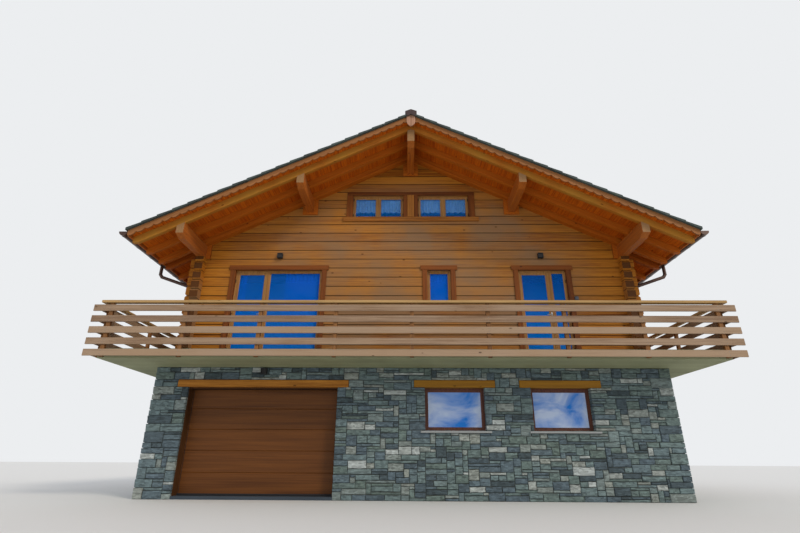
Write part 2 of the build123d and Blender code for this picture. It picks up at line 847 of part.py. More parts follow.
# Ridge tiles, bedded on the heads of the uppermost courses, and the boards at the gable edges
course_run = roof_x / tile_courses
cap_foot = roof_z(ridge_cap_half, roof_top) - tile_step * (1 - ridge_cap_half / course_run)
save(slope_layer([(-ridge_cap_half, cap_foot), (0, roof_top - tile_step), (ridge_cap_half, cap_foot),
                  (ridge_cap_half, cap_foot + ridge_cap_thick),
                  (0, roof_top - tile_step + ridge_cap_thick),
                  (-ridge_cap_half, cap_foot + ridge_cap_thick)], roof_y), "ridge_cap")
save(bargeboard("front"), "front_bargeboards")
save(bargeboard("rear"), "rear_bargeboards")
save(pendants(), "ridge_pendants")

# Railing round the balcony, with a short run across each end of it at the rear
rail_front = deck_y + post_depth
rail_rear = stone_y + post_depth
slat_x = deck_x + post_depth + slat_thick
cap_x = slat_x + cap_proud
cap_inset = rail_cap_width - cap_proud - slat_thick
corner_x = deck_x - corner_post_inset
front_slat_x = slat_x + front_slat_reach
end_x = stub_x + rail_end_gap
save(railing("front", deck_y, [((-corner_x, corner_x), (-front_slat_x, front_slat_x), (-cap_x, cap_x))],
             front_post_bays), "front_railing")
for side in ("left", "right"):
    save(railing(side, deck_x, [((corner_post_inset - deck_y, stone_y - corner_post_inset),
                                 (-rail_front, rail_rear),
                                 (cap_inset - rail_front, rail_rear - cap_inset))],
                 side_post_bays), f"{side}_railing")
save(railing("rear", stone_y,
             [((-corner_x, -end_x - post_width), (-slat_x, -end_x), (-cap_x, -end_x)),
              ((end_x + post_width, corner_x), (end_x, slat_x), (end_x, cap_x))], 1), "railing_ends")

# Lamps over the garage and the balcony doors
with BuildPart() as wall_lamps:
    with BuildSketch(face_plane("front", log_y)):
        for door in front_doors:
            with Locations((door.x, door_head + lamp_above_door)):
                Rectangle(lamp_width, lamp_height)
    extrude(amount=lamp_depth)
    with BuildSketch(face_plane("front", stone_y)):
        with Locations((garage_x, garage_head + lintel_height + lamp_above_garage + lamp_height / 2)):
            Rectangle(lamp_width, lamp_height)
    extrude(amount=lamp_depth)
save(wall_lamps.part, "wall_lamps")
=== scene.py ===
"""Looks of the alpine chalet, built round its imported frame.

Metres, in the frame of the CAD model: X along the gable front, Y towards the rear, Z up.
"""

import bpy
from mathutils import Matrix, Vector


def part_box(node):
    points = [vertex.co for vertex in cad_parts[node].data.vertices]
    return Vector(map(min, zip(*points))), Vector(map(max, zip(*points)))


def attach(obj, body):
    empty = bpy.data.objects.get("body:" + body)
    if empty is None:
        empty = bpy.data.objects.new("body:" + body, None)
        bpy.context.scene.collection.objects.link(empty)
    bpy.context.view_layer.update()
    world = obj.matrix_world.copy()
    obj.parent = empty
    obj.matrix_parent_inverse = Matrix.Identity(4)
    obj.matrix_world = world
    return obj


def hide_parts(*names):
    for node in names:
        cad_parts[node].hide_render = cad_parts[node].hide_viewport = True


bl_info = {
    "name": "Alpine chalet",
    "version": (1, 0, 0),
    "blender": (4, 5, 0),
    "location": "View3D > Sidebar > Chalet",
    "description": "Stonework, timber, roof and glazing of an alpine log house",
    "category": "Object",
}

from collections import namedtuple
from contextlib import contextmanager
from math import atan, cos, hypot, pi, radians, sin
from random import Random

import bmesh
import bpy
from bpy.props import FloatProperty, FloatVectorProperty, IntProperty, PointerProperty
from bpy.types import Operator, Panel, PropertyGroup
from mathutils import Matrix, Vector

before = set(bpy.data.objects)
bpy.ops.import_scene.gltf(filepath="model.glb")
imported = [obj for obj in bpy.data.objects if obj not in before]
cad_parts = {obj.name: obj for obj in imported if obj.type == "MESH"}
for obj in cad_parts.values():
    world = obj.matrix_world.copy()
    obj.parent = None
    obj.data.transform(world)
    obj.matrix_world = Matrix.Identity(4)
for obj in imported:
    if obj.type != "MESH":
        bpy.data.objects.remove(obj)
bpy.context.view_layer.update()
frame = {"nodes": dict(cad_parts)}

# Levels and faces of the frame that the pieces sit on
SLAB_LOW, SLAB_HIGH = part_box("balcony_slab")
DECK_BASE, DECK_TOP = SLAB_LOW.z, SLAB_HIGH.z
STONE_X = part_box("stone_front_wall")[1].x
STONE_Y = -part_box("stone_front_wall")[0].y
LOG_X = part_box("right_log_wall")[1].x
LOG_Y = -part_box("front_log_wall")[0].y
COURSE = 0.24
ROOF_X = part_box("roof_tiles_right")[1].x
ROOF_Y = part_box("roof_tiles_right")[1].y
ROOF_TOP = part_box("roof_tiles_right")[1].z
BOARD_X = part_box("roof_boards_right")[1].x
BOARD_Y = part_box("roof_boards_right")[1].y
BOARD_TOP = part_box("roof_boards_right")[1].z
BOARD_DROP = 0.035
PITCH = atan(0.5)
HALF_TURN = Matrix.Rotation(pi, 4, "Z")

# Walls in turn round the house, each with the angle that brings its outer face to the front
ANGLES = {"front": 0, "right": pi / 2, "rear": pi, "left": -pi / 2}
GABLES = ("front", "rear")


class Opening(namedtuple("Opening", "x width sill head panes")):
    """Hole in a wall, with its panes as start and end from its left side and border of wood."""

    @property
    def left(self):
        return self.x - self.width / 2

    @property
    def right(self):
        return self.x + self.width / 2


DOOR_HEAD = DECK_TOP + 2.22
WINDOW_SILL = DOOR_HEAD - 0.82
LEFT_DOOR = Opening(-3.255, 2.13, DECK_TOP, DOOR_HEAD, [(0, 0.8, 0.09), (0.8, 2.13, 0.05)])
RIGHT_DOOR = Opening(3.2, 1.16, DECK_TOP, DOOR_HEAD, [(0, 0.77, 0.09), (0.77, 1.16, 0.05)])
MIDDLE_WINDOW = Opening(0.685, 0.57, WINDOW_SILL, DOOR_HEAD, [(0, 0.57, 0.06)])
TWIN_WINDOW = Opening(0, 1.16, WINDOW_SILL, DOOR_HEAD, [(0, 0.58, 0.07), (0.58, 1.16, 0.07)])
ATTIC_WINDOW = Opening(0.845, 1.31, DECK_TOP + 3.69, DECK_TOP + 4.33,
                       [(0, 0.655, 0.06), (0.655, 1.31, 0.06)])
GROUND_WINDOW = Opening(0, 1.32, 1.335, 2.235, [(0, 1.32, 0.075)])
GARAGE = Opening(-3.265, 3.32, 0, 2.23, [])
LINTEL_BEARING = 0.225
LINTEL_HEIGHT = 0.155
SILL_REACH = 0.09
SILL_HEIGHT = 0.04
LOG_SETBACK = 0.06
STONE_SETBACK = 0.14


def placed(opening, places):
    """The same opening at several places along its wall."""
    return [opening._replace(x=place) for place in places]


ATTIC_PAIR = placed(ATTIC_WINDOW, (-ATTIC_WINDOW.x, ATTIC_WINDOW.x))
REAR_TWINS = placed(TWIN_WINDOW, (-2.6, 2.6))
SIDE_TWINS = placed(TWIN_WINDOW, (-2.2, 2.2))
STONE_WINDOWS = {
    "front": placed(GROUND_WINDOW, (0.94, 3.24)),
    "right": placed(GROUND_WINDOW, (-2.2, 2.2)),
    "rear": placed(GROUND_WINDOW, (-2.6, 2.6)),
    "left": placed(GROUND_WINDOW, (-2.2, 2.2)),
}
LOG_WINDOWS = {
    "front": [LEFT_DOOR, RIGHT_DOOR, MIDDLE_WINDOW] + ATTIC_PAIR,
    "right": SIDE_TWINS,
    "rear": REAR_TWINS + ATTIC_PAIR,
    "left": SIDE_TWINS,
}


def linear(code):
    """Turn an sRGB hex colour into linear light."""
    values = [int(code[start:start + 2], 16) / 255 for start in (1, 3, 5)]
    return [value / 12.92 if value <= 0.04045 else ((value + 0.055) / 1.055) ** 2.4
            for value in values]


def colour_setting(name, description, code):
    """A colour that a user may change."""
    return FloatVectorProperty(name=name, description=description, default=linear(code), min=0, max=1,
                               subtype="COLOR")


def length_setting(name, description, default):
    """A length that a user may change."""
    return FloatProperty(name=name, description=description, default=default, min=0, unit="LENGTH")


class ChaletMasonry(PropertyGroup):
    """Rubble facing of the ground storey."""
    cell: length_setting("Cell", "Height of the thinnest stones", 0.055)
    joint: length_setting("Joint", "Width of the joints", 0.010)
    proud_least: length_setting("Least relief", "How far the flattest stones stand out", 0.010)
    proud_most: length_setting("Most relief", "How far the roughest stones stand out", 0.026)
    seed: IntProperty(name="Seed", description="Changes how the stones fall", default=7)
    dark: colour_setting("Dark stone", "Slate-like bands of the gneiss", "#3d4a4e")
    middle: colour_setting("Middle stone", "Main tone of the gneiss", "#687a7b")
    pale: colour_setting("Pale stone", "Quartz-rich blocks", "#a8b0ae")


class ChaletTimber(PropertyGroup):
    """Stains and wear of the timber."""
    log_light: colour_setting("Log light", "Early wood of the stained logs", "#b97722")
    log_dark: colour_setting("Log dark", "Late wood of the stained logs", "#7e4007")
    roof_light: colour_setting("Roof light", "Early wood of the roof timbers", "#ba6416")
    roof_dark: colour_setting("Roof dark", "Late wood of the roof timbers", "#893b06")
    rail_light: colour_setting("Rail light", "Weathered face of the slats", "#a1866a")
    rail_dark: colour_setting("Rail dark", "Late wood of the slats", "#694a30")
    ease: length_setting("Eased edge", "Width of the planed-off edges", 0.005)


class ChaletRoof(PropertyGroup):
    """Covering of the roof."""
    tile_rows: IntProperty(name="Courses", description="Courses of tiles on a slope", default=20)
    tile_columns: IntProperty(name="Columns", description="Tiles along the ridge", default=41)
    tile_roll: length_setting("Roll", "Height of a tile's wave", 0.012)
    tile_thick: length_setting("Thickness", "Thickness of a tile", 0.016)
    plank_pitch: length_setting("Board pitch", "Width of the soffit boards", 0.14)
    tile: colour_setting("Tile", "Weathered concrete tile", "#3d4845")


class ChaletStage(PropertyGroup):
    """Plain studio round the house."""
    floor: colour_setting("Floor", "Pale floor", "#d9d9d6")
    backdrop: colour_setting("Backdrop", "Pale backdrop", "#eceef0")
    key_strength: FloatProperty(name="Key light", description="Strength of the soft sun", default=1.3)
    fill_strength: FloatProperty(name="Fill light", default=0.84,
                                 description="Strength of the light from all round")


# ---------------------------------------------------------------- modelling

def deselect():
    """Leave edit mode and select nothing."""
    if bpy.context.object and bpy.context.object.mode != "OBJECT":
        bpy.ops.object.mode_set(mode="OBJECT")
    bpy.ops.object.select_all(action="DESELECT")


@contextmanager
def editing():
    """Edit the active piece, all of it selected, and leave edit mode again."""
    bpy.ops.object.mode_set(mode="EDIT")
    bpy.ops.mesh.select_all(action="SELECT")
    yield
    bpy.ops.object.mode_set(mode="OBJECT")


def pick(kind, test):
    """In edit mode, select only the vertices, edges or faces that pass a test."""
    bpy.ops.mesh.select_mode(type=kind)
    bpy.ops.mesh.select_all(action="DESELECT")
    shape = bmesh.from_edit_mesh(bpy.context.edit_object.data)
    elements = {"VERT": shape.verts, "EDGE": shape.edges, "FACE": shape.faces}[kind]
    for element in elements:
        if test(element):
            element.select_set(True)
    shape.select_flush(True)
    bmesh.update_edit_mesh(bpy.context.edit_object.data)


def settle(scale=None):
    """Put the new primitive's place, turn and size into its mesh."""
    if scale:
        bpy.context.object.scale = scale
    bpy.ops.object.transform_apply(location=True, rotation=True, scale=True)
    return bpy.context.object


def bar(low, high, ease):
    """Squared bar between two corners, with its edges eased."""
    low, high = Vector(low), Vector(high)
    deselect()
    bpy.ops.mesh.primitive_cube_add(size=1, location=(low + high) / 2, scale=high - low)
    piece = settle()
    with editing():
        bpy.ops.mesh.bevel(offset=min(ease, 0.4 * min(high - low)), segments=1, affect="EDGES")
    return piece


def marked(piece, name, value):
    """Give every point of a piece one value that its material can read."""
    points = piece.data.attributes.new(name, "FLOAT", "POINT")
    points.data.foreach_set("value", [value] * len(piece.data.vertices))
    return piece


def copied(base, place):
    """Copy of a modelled piece, with its own mesh, moved into place."""
    copy = base.copy()
    copy.data = base.data.copy()
    copy.data.transform(place)
    bpy.context.collection.objects.link(copy)
    return copy


def joined(pieces, name):
    """Join pieces into one."""
    deselect()
    for piece in pieces:
        piece.select_set(True)
    bpy.context.view_layer.objects.active = pieces[0]
    if len(pieces) > 1:
        bpy.ops.object.join()
    whole = bpy.context.object
    whole.name = whole.data.name = name
    return whole


def applied(piece, kind, **settings):
    """Add a modifier and apply it."""
    deselect()
    piece.select_set(True)
    bpy.context.view_layer.objects.active = piece
    modifier = piece.modifiers.new(kind.title(), kind)
    for name, value in settings.items():
        setattr(modifier, name, value)
    bpy.ops.object.modifier_apply(modifier=modifier.name)
    return piece


def turned(side, distance=0):
    """Matrix from a wall's own view, face at Y 0 and outside at -Y, to its place in the house."""
    return Matrix.Rotation(ANGLES[side], 4, "Z") @ Matrix.Translation((0, -distance, 0))


def set_in(piece, side, distance, x=0, z=0):
    """Move a piece from a wall's own view into its place in that wall."""
    piece.data.transform(turned(side, distance) @ Matrix.Translation((x, 0, z)))
    return piece


def coat(piece, material):
    """Give a piece one material."""
    piece.data.materials.clear()
    piece.data.materials.append(material)
    return piece


def keep(piece, slot, *stands_for):
    """Fix a finished piece to the house."""
    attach(piece, "root")
    if stands_for:
        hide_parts(*stands_for)


def boards(side, distance, boxes, woods, ease, dice):
    """Separate boards on one wall, each grained along its longest side."""
    pieces = []
    for low, high in boxes:
        size = [b - a for a, b in zip(low, high)]
        longest = size.index(max(size))
        axis = ("XYZ" if side in GABLES else "YXZ")[longest]
        piece = marked(set_in(bar(low, high, ease), side, distance), "board", dice.uniform(1, 99))
        pieces.append(coat(piece, woods[axis]))
    return pieces


def round_bar(radius, length, along, place=(0, 0, 0), sides=16, dished=None):
    """Round bar along one axis; dished gives the inset of its ends and how far that moves them."""
    deselect()
    turn = {"X": (0, pi / 2, 0), "Y": (pi / 2, 0, 0), "Z": (0, 0, 0)}[along]
    bpy.ops.mesh.primitive_cylinder_add(vertices=sides, radius=radius, depth=length, rotation=turn,
                                        location=place)
    piece = settle()
    if dished:
        inset, depth = dished
        with editing():
            pick("FACE", lambda face: abs(face.normal["XYZ".index(along)]) > 0.9)
            bpy.ops.mesh.inset(thickness=inset, depth=depth, use_individual=True)
    return piece


def peaked(size, place, rise, ends, narrow, sink, ease):
    """Block with its middle line lifted into a ridge, narrowed and sunk where a test says."""
    deselect()
    bpy.ops.mesh.primitive_cube_add(size=1, scale=size, location=place)
    piece = settle()
    with editing():
        bpy.ops.mesh.bisect(plane_co=(0, 0, 0), plane_no=(1, 0, 0))
        pick("VERT", lambda vertex: abs(vertex.co.x) < 0.001)
        bpy.ops.transform.translate(value=(0, 0, rise))
        pick("VERT", ends)
        bpy.ops.transform.resize(value=(narrow, 1, 1), center_override=(0, 0, 0))
        bpy.ops.transform.translate(value=(0, 0, -sink))
        bpy.ops.mesh.select_all(action="SELECT")
        bpy.ops.mesh.bevel(offset=ease, segments=1, affect="EDGES")
    return piece


def repeated(piece, count, step):
    """Row of like pieces made from one, a step apart."""
    return applied(piece, "ARRAY", count=count, use_relative_offset=False, use_constant_offset=True,
                   constant_offset_displace=step)


def ring(width, height, strip, drop, depth):
    """Flat frame round a pane, its inner edge set back, centred on the origin and facing -Y."""
    deselect()
    bpy.ops.mesh.primitive_plane_add(size=1, rotation=(pi / 2, 0, 0))
    piece = settle((width, height, 1))
    with editing():
        bpy.ops.mesh.inset(thickness=strip, depth=0)
        bpy.ops.transform.translate(value=(0, drop, 0))
        bpy.ops.mesh.delete(type="ONLY_FACE")
    return applied(piece, "SOLIDIFY", thickness=depth, offset=-1)


# ---------------------------------------------------------------- materials

def add(tree, kind, inputs, output=0, ramp=(), **settings):
    """Add one shader node with its settings, values and links, and give one of its outputs.

    An output node has none to give.
    """
    node = tree.nodes.new("ShaderNode" + kind)
    for name, value in settings.items():
        setattr(node, name, value)
    for socket, value in inputs.items():
        if isinstance(value, bpy.types.NodeSocket):
            tree.links.new(value, node.inputs[socket])
        else:
            node.inputs[socket].default_value = value
    if ramp:
        elements = node.color_ramp.elements
        elements[0].position, elements[1].position = ramp[0][0], ramp[-1][0]
        for position, _ in ramp[1:-1]:
            elements.new(position)
        for element, (_, colour) in zip(elements, ramp):
            element.color = (*colour, 1)
    return node.outputs[output] if node.outputs else None


def new_material(name):
    """Empty node material."""
    material = bpy.data.materials.new(name)
    material.use_nodes = True
    material.node_tree.nodes.clear()
    return material, material.node_tree


def surface(tree, colour, roughness, height=None, depth=0.001, **sockets):
    """Finish a material with its shader and, where there is relief, its bump."""
    inputs = {"Base Color": colour, "Roughness": roughness}
    inputs.update({name.replace("_", " "): value for name, value in sockets.items()})
    if height is not None:
        inputs["Normal"] = add(tree, "Bump", {"Strength": 0.6, "Distance": depth, "Height": height})
    add(tree, "OutputMaterial", {"Surface": add(tree, "BsdfPrincipled", inputs)})


def off_seam(tree, level):
    """Distance to the nearest whole number, as a share of a board: 0 on the seam, 0.5 mid-board."""
    share = add(tree, "Math", {0: level, 1: 1.0}, operation="PINGPONG")
    share = add(tree, "Math", {0: share, 1: 0.5}, operation="SUBTRACT")
    share = add(tree, "Math", {0: share}, operation="ABSOLUTE")
    return add(tree, "Math", {0: 0.5, 1: share}, operation="SUBTRACT")


def drawn_out(along, lengthwise, across):
    """Scale of a pattern that is drawn out along one axis."""
    return [lengthwise if axis == along else across for axis in "XYZ"]


def board_rows(tree, place, rows, gap, seam):
    """Number of the board that a point lies on, and its tone, with painted shade where the eased
    edges meet.
    """
    direction, start, width = rows
    across = [value / width for value in direction]
    level = add(tree, "VectorMath", {0: place, 1: across}, "Value", operation="DOT_PRODUCT")
    level = add(tree, "Math", {0: level, 1: start / width}, operation="SUBTRACT")
    number = add(tree, "Math", {0: level}, operation="FLOOR")
    if not gap:
        return number, None
    edge = off_seam(tree, level)
    return number, add(tree, "MapRange", {0: edge, 1: 0.2 * gap / width, 2: gap / width, 3: seam,
                                          4: 1}, interpolation_type="SMOOTHSTEP")


def weathered(tree, place, colour, faded, share, open_to):
    """Take the stain off in drifts a metre or so across, as far as rain and sun reach."""
    drift = add(tree, "TexNoise", {"Vector": place, "Scale": 0.9, "Detail": 3})
    drift = add(tree, "MapRange", {0: drift, 1: 0.35, 2: 0.62, 3: 0.25 * share, 4: share})
    if open_to:
        middle, reach = open_to
        off = add(tree, "VectorMath", {0: place, 1: middle}, operation="SUBTRACT")
        off = add(tree, "VectorMath", {0: off, 1: [1 / half for half in reach]}, operation="MULTIPLY")
        off = add(tree, "VectorMath", {0: off}, "Value", operation="LENGTH")
        off = add(tree, "MapRange", {0: off, 1: 0.75, 2: 1.05, 3: 1, 4: 0})
        drift = add(tree, "Math", {0: drift, 1: off}, operation="MULTIPLY")
    return add(tree, "Mix", {0: drift, 6: colour, 7: (*faded, 1)}, 2, data_type="RGBA")


def knotty(tree, place, shift, along, colour, dark, share):
    """Scatter knots 15 to 30 mm across, a little longer along the fibre."""
    spots = add(tree, "Mapping", {"Vector": place, "Scale": drawn_out(along, 2.4, 5.2),
                                  "Location": shift})
    near = add(tree, "TexVoronoi", {"Vector": spots, "Scale": 1}, "Distance")
    chance = add(tree, "TexVoronoi", {"Vector": spots, "Scale": 1}, "Color")
    chance = add(tree, "Math", {0: chance, 1: share}, operation="LESS_THAN")
    knot = add(tree, "MapRange", {0: near, 1: 0.055, 2: 0.10, 3: 0.8, 4: 0},
               interpolation_type="SMOOTHSTEP")
    knot = add(tree, "Math", {0: knot, 1: chance}, operation="MULTIPLY")
    brown = [0.35 * value for value in dark]
    return add(tree, "Mix", {0: knot, 6: colour, 7: (*brown, 1)}, 2, data_type="RGBA")


def end_grained(tree, along, tilt, grain, colour, butt):
    """Darken the sawn ends, which drink more stain, or give them the colour of their own finish."""
    normal = add(tree, "TexCoord", {}, "Normal")
    if tilt:
        normal = add(tree, "VectorMath", {0: normal}, operation="ABSOLUTE")
    facing = add(tree, "VectorMath", {0: normal, 1: drawn_out(along, 1, 0)}, "Value",
                 operation="DOT_PRODUCT")
    facing = add(tree, "Math", {0: facing}, operation="ABSOLUTE")
    facing = add(tree, "MapRange", {0: facing, 1: 0.86, 2: 0.92})
    least, most = (0.78, 1.12) if butt else (0.6, 0.66)
    tone = add(tree, "MapRange", {0: grain, 1: 0.58, 2: 1.00, 3: least, 4: most})
    end = add(tree, "VectorMath", {0: butt or colour, "Scale": tone}, operation="SCALE")
    return add(tree, "Mix", {0: facing, 6: colour, 7: end}, 2, data_type="RGBA")


def timber(name, light, dark, along, rows=None, knots=0.55, gap=0, seam=0.22, spread=0.28,
           roughness=0.62, tilt=0, worn=None, open_to=None, butt=None):
    """Planed softwood: long fibres, a tone of its own for each board, and scattered knots.

    It reads as stained wood by its drawn-out rings and its low, broken sheen. rows gives the
    direction across the boards, their start and their width, gap the half width of a seam and seam
    the tone of the painted shade in it, worn the faded colour and its share, open_to the middle and
    the half sizes of the stretch that rain and sun reach, and butt the colour of end grain with a
    finish of its own.
    """
    material, tree = new_material(name)
    place = add(tree, "TexCoord", {}, "Object")
    if tilt:
        place = add(tree, "VectorMath", {0: place}, operation="ABSOLUTE")
        place = add(tree, "Mapping", {"Vector": place, "Rotation": (0, -tilt, 0)})
    board, edge = add(tree, "Attribute", {}, "Fac", attribute_name="board"), None
    if rows:
        number, edge = board_rows(tree, place, rows, gap, seam)
        board = add(tree, "Math", {0: board, 1: number})
    dice = add(tree, "TexWhiteNoise", {"W": board}, "Color", noise_dimensions="1D")
    tone = add(tree, "TexWhiteNoise", {"W": board}, "Value", noise_dimensions="1D")
    shift = add(tree, "VectorMath", {0: dice, 1: (9, 9, 9)}, operation="MULTIPLY")
    # Growth rings 6 to 20 mm apart on the face, drawn out over half a metre along the fibre
    rings = add(tree, "Mapping", {"Vector": place, "Scale": drawn_out(along, 0.9, 34),
                                  "Location": shift})
    rings = add(tree, "TexNoise", {"Vector": rings, "Scale": 1, "Detail": 3, "Roughness": 0.55,
                                   "Distortion": 0.35})
    fibres = add(tree, "Mapping", {"Vector": place, "Scale": drawn_out(along, 5, 210),
                                   "Location": shift})
    fibres = add(tree, "TexNoise", {"Vector": fibres, "Scale": 1, "Detail": 2, "Roughness": 0.6})
    grain = add(tree, "Math", {0: fibres, 1: 0.45, 2: rings}, operation="MULTIPLY_ADD")
    tone = add(tree, "MapRange", {0: tone, 3: 0.14 - spread / 2, 4: 0.14 + spread / 2})
    grain = add(tree, "Math", {0: grain, 1: tone})
    colour = add(tree, "MapRange", {0: grain, 1: 0.58, 2: 1.00, 3: 0, 4: 1})
    colour = add(tree, "Mix", {0: colour, 6: (*dark, 1), 7: (*light, 1)}, 2, data_type="RGBA")
    if worn:
        colour = weathered(tree, place, colour, *worn, open_to)
    colour = knotty(tree, place, shift, along, colour, dark, knots)
    colour = end_grained(tree, along, tilt, grain, colour, butt)
    # Painted shade in the seams between boards
    if edge is not None:
        colour = add(tree, "VectorMath", {0: colour, "Scale": edge}, operation="SCALE")
    rough = add(tree, "MapRange", {0: rings, 1: 0.3, 2: 0.7, 3: roughness - 0.06,
                                   4: roughness + 0.08})
    surface(tree, colour, rough, grain, 0.0016, Specular_IOR_Level=0.2)
    return material


def timber_set(name, light, dark, **settings):
    """The same timber with its fibres along each of the three axes."""
    return {axis: timber(f"{name} along {axis}", light, dark, axis, **settings) for axis in "XYZ"}


def gneiss(settings):
    """Split gneiss: matt, banded and speckled, each block with its own tone, its facets with painted
    light and shade.
    """
    material, tree = new_material("Split gneiss")
    place = add(tree, "TexCoord", {}, "Object")
    stone = add(tree, "Attribute", {}, "Fac", attribute_name="stone")
    dark, middle, pale = (list(c) for c in (settings.dark, settings.middle, settings.pale))
    green = linear("#60706a")
    warm = linear("#8b918a")
    blue = linear("#56666f")
    tone = add(tree, "ValToRGB", {0: stone}, ramp=[(0.0, dark), (0.18, blue), (0.40, middle),
                                                    (0.55, green), (0.72, middle), (0.90, warm),
                                                    (0.98, pale)])
    shift = add(tree, "VectorMath", {0: (37, 53, 71), "Scale": stone}, operation="SCALE")
    # Mica bands 8 to 25 mm thick run level through each block
    bands = add(tree, "Mapping", {"Vector": place, "Scale": (5, 5, 42), "Location": shift})
    bands = add(tree, "TexNoise", {"Vector": bands, "Scale": 1, "Detail": 4, "Roughness": 0.6,
                                   "Distortion": 0.5})
    specks = add(tree, "TexNoise", {"Vector": place, "Scale": 130, "Detail": 2})
    rough = add(tree, "TexNoise", {"Vector": place, "Scale": 26, "Detail": 5, "Roughness": 0.65})
    # Split facets 30 to 60 mm across, longer along the bed, each with painted light or shade of its
    # own
    painted_facets = add(tree, "Mapping", {"Vector": place, "Scale": (15, 15, 32), "Location": shift})
    painted_facets = add(tree, "TexVoronoi", {"Vector": painted_facets, "Scale": 1}, "Color")
    shade = add(tree, "Math", {0: specks, 1: 0.5, 2: bands}, operation="MULTIPLY_ADD")
    shade = add(tree, "Math", {0: painted_facets, 1: 0.55, 2: shade}, operation="MULTIPLY_ADD")
    shade = add(tree, "MapRange", {0: shade, 1: 0.6, 2: 1.45, 3: 0.36, 4: 1.6})
    colour = add(tree, "VectorMath", {0: tone, "Scale": shade}, operation="SCALE")
    height = add(tree, "Math", {0: rough, 1: 1.6, 2: shade}, operation="MULTIPLY_ADD")
    surface(tree, colour, 0.86, height, 0.010)
    return material


def mortar():
    """Lime mortar, raked back and dark with damp and shade."""
    material, tree = new_material("Raked lime mortar")
    place = add(tree, "TexCoord", {}, "Object")
    sand = add(tree, "TexNoise", {"Vector": place, "Scale": 60, "Detail": 4})
    colour = add(tree, "Mix", {0: sand, 6: (*linear("#2c302e"), 1), 7: (*linear("#50544f"), 1)}, 2,
                 data_type="RGBA")
    surface(tree, colour, 0.95, sand, 0.004)
    return material


def concrete(name, low, high):
    """Concrete cast in form boards: dull and mottled, with faint seams and a fine sandy grain."""
    material, tree = new_material(name)
    place = add(tree, "TexCoord", {}, "Object")
    patch = add(tree, "TexNoise", {"Vector": place, "Scale": 1.4, "Detail": 5})
    sand = add(tree, "TexNoise", {"Vector": place, "Scale": 90, "Detail": 3})
    # Form boards 200 mm wide under the slab and 67 mm high on its edge
    across = add(tree, "VectorMath", {0: place, 1: (0, 5, 15)}, "Value", operation="DOT_PRODUCT")
    seam = add(tree, "MapRange", {0: off_seam(tree, across), 1: 0, 2: 0.03, 3: 0.78, 4: 1})
    board = add(tree, "TexWhiteNoise", {"W": add(tree, "Math", {0: across}, operation="FLOOR")},
                "Value", noise_dimensions="1D")
    shade = add(tree, "Math", {0: board, 1: 0.14, 2: seam}, operation="MULTIPLY_ADD")
    shade = add(tree, "Math", {0: sand, 1: 0.16, 2: shade}, operation="MULTIPLY_ADD")
    colour = add(tree, "Mix", {0: patch, 6: (*low, 1), 7: (*high, 1)}, 2, data_type="RGBA")
    colour = add(tree, "VectorMath", {0: colour, "Scale": shade}, operation="SCALE")
    surface(tree, colour, 0.82, shade, 0.003)
    return material


def sawn_stone():
    """Sawn granite sill, fine speckle and a faint sheen from the blade."""
    material, tree = new_material("Sawn granite")
    place = add(tree, "TexCoord", {}, "Object")
    specks = add(tree, "TexNoise", {"Vector": place, "Scale": 180, "Detail": 2})
    colour = add(tree, "Mix", {0: specks, 6: (*linear("#74787a"), 1), 7: (*linear("#a9adab"), 1)}, 2,
                 data_type="RGBA")
    surface(tree, colour, 0.55, specks, 0.0006)
    return material


def roof_tile(name, colour, grid=None):
    """Pressed concrete tile: matt, sandy, with patches where algae darkens it.

    grid gives a tile's length and width on plan, where each tile has a tone of its own.
    """
    material, tree = new_material(name)
    place = add(tree, "TexCoord", {}, "Object")
    tone = add(tree, "Mapping", {"Vector": place, "Scale": (3.1, 3.3, 1)})
    tone = add(tree, "TexNoise", {"Vector": tone, "Scale": 1.7, "Detail": 6, "Roughness": 0.6})
    sand = add(tree, "TexNoise", {"Vector": place, "Scale": 160, "Detail": 2})
    shade = add(tree, "MapRange", {0: tone, 1: 0.3, 2: 0.7, 3: 0.7, 4: 1.3})
    if grid:
        tile = add(tree, "Mapping", {"Vector": place, "Scale": (1 / grid[0], 1 / grid[1], 0),
                                     "Location": (0, 0.5, 0)})
        tile = add(tree, "VectorMath", {0: tile}, operation="FLOOR")
        batch = add(tree, "TexWhiteNoise", {"Vector": tile}, "Value")
        batch = add(tree, "MapRange", {0: batch, 3: 0.78, 4: 1.22})
        shade = add(tree, "Math", {0: shade, 1: batch}, operation="MULTIPLY")
    mixed = add(tree, "VectorMath", {0: list(colour), "Scale": shade}, operation="SCALE")
    moss = add(tree, "MapRange", {0: tone, 1: 0.55, 2: 0.75, 3: 0, 4: 0.35})
    mixed = add(tree, "Mix", {0: moss, 6: mixed, 7: (*linear("#4b5a3a"), 1)}, 2, data_type="RGBA")
    surface(tree, mixed, 0.78, sand, 0.001)
    return material


def coated_steel(name, light, dark, along, roughness):
    """Steel panel with a printed wood foil: fine streaks and a satin coat, too even for real wood."""
    material, tree = new_material(name)
    place = add(tree, "TexCoord", {}, "Object")
    streaks = add(tree, "Mapping", {"Vector": place, "Scale": drawn_out(along, 0.7, 120)})
    streaks = add(tree, "TexNoise", {"Vector": streaks, "Scale": 1, "Detail": 4, "Roughness": 0.62})
    broad = add(tree, "Mapping", {"Vector": place, "Scale": drawn_out(along, 0.35, 9)})
    broad = add(tree, "TexNoise", {"Vector": broad, "Scale": 1, "Detail": 2})
    mix = add(tree, "Math", {0: broad, 1: 0.6, 2: streaks}, operation="MULTIPLY_ADD")
    mix = add(tree, "MapRange", {0: mix, 1: 0.55, 2: 1.05, 3: 0, 4: 1})
    colour = add(tree, "Mix", {0: mix, 6: (*dark, 1), 7: (*light, 1)}, 2, data_type="RGBA")
    surface(tree, colour, roughness, mix, 0.0004, Specular_IOR_Level=0.25)
    return material


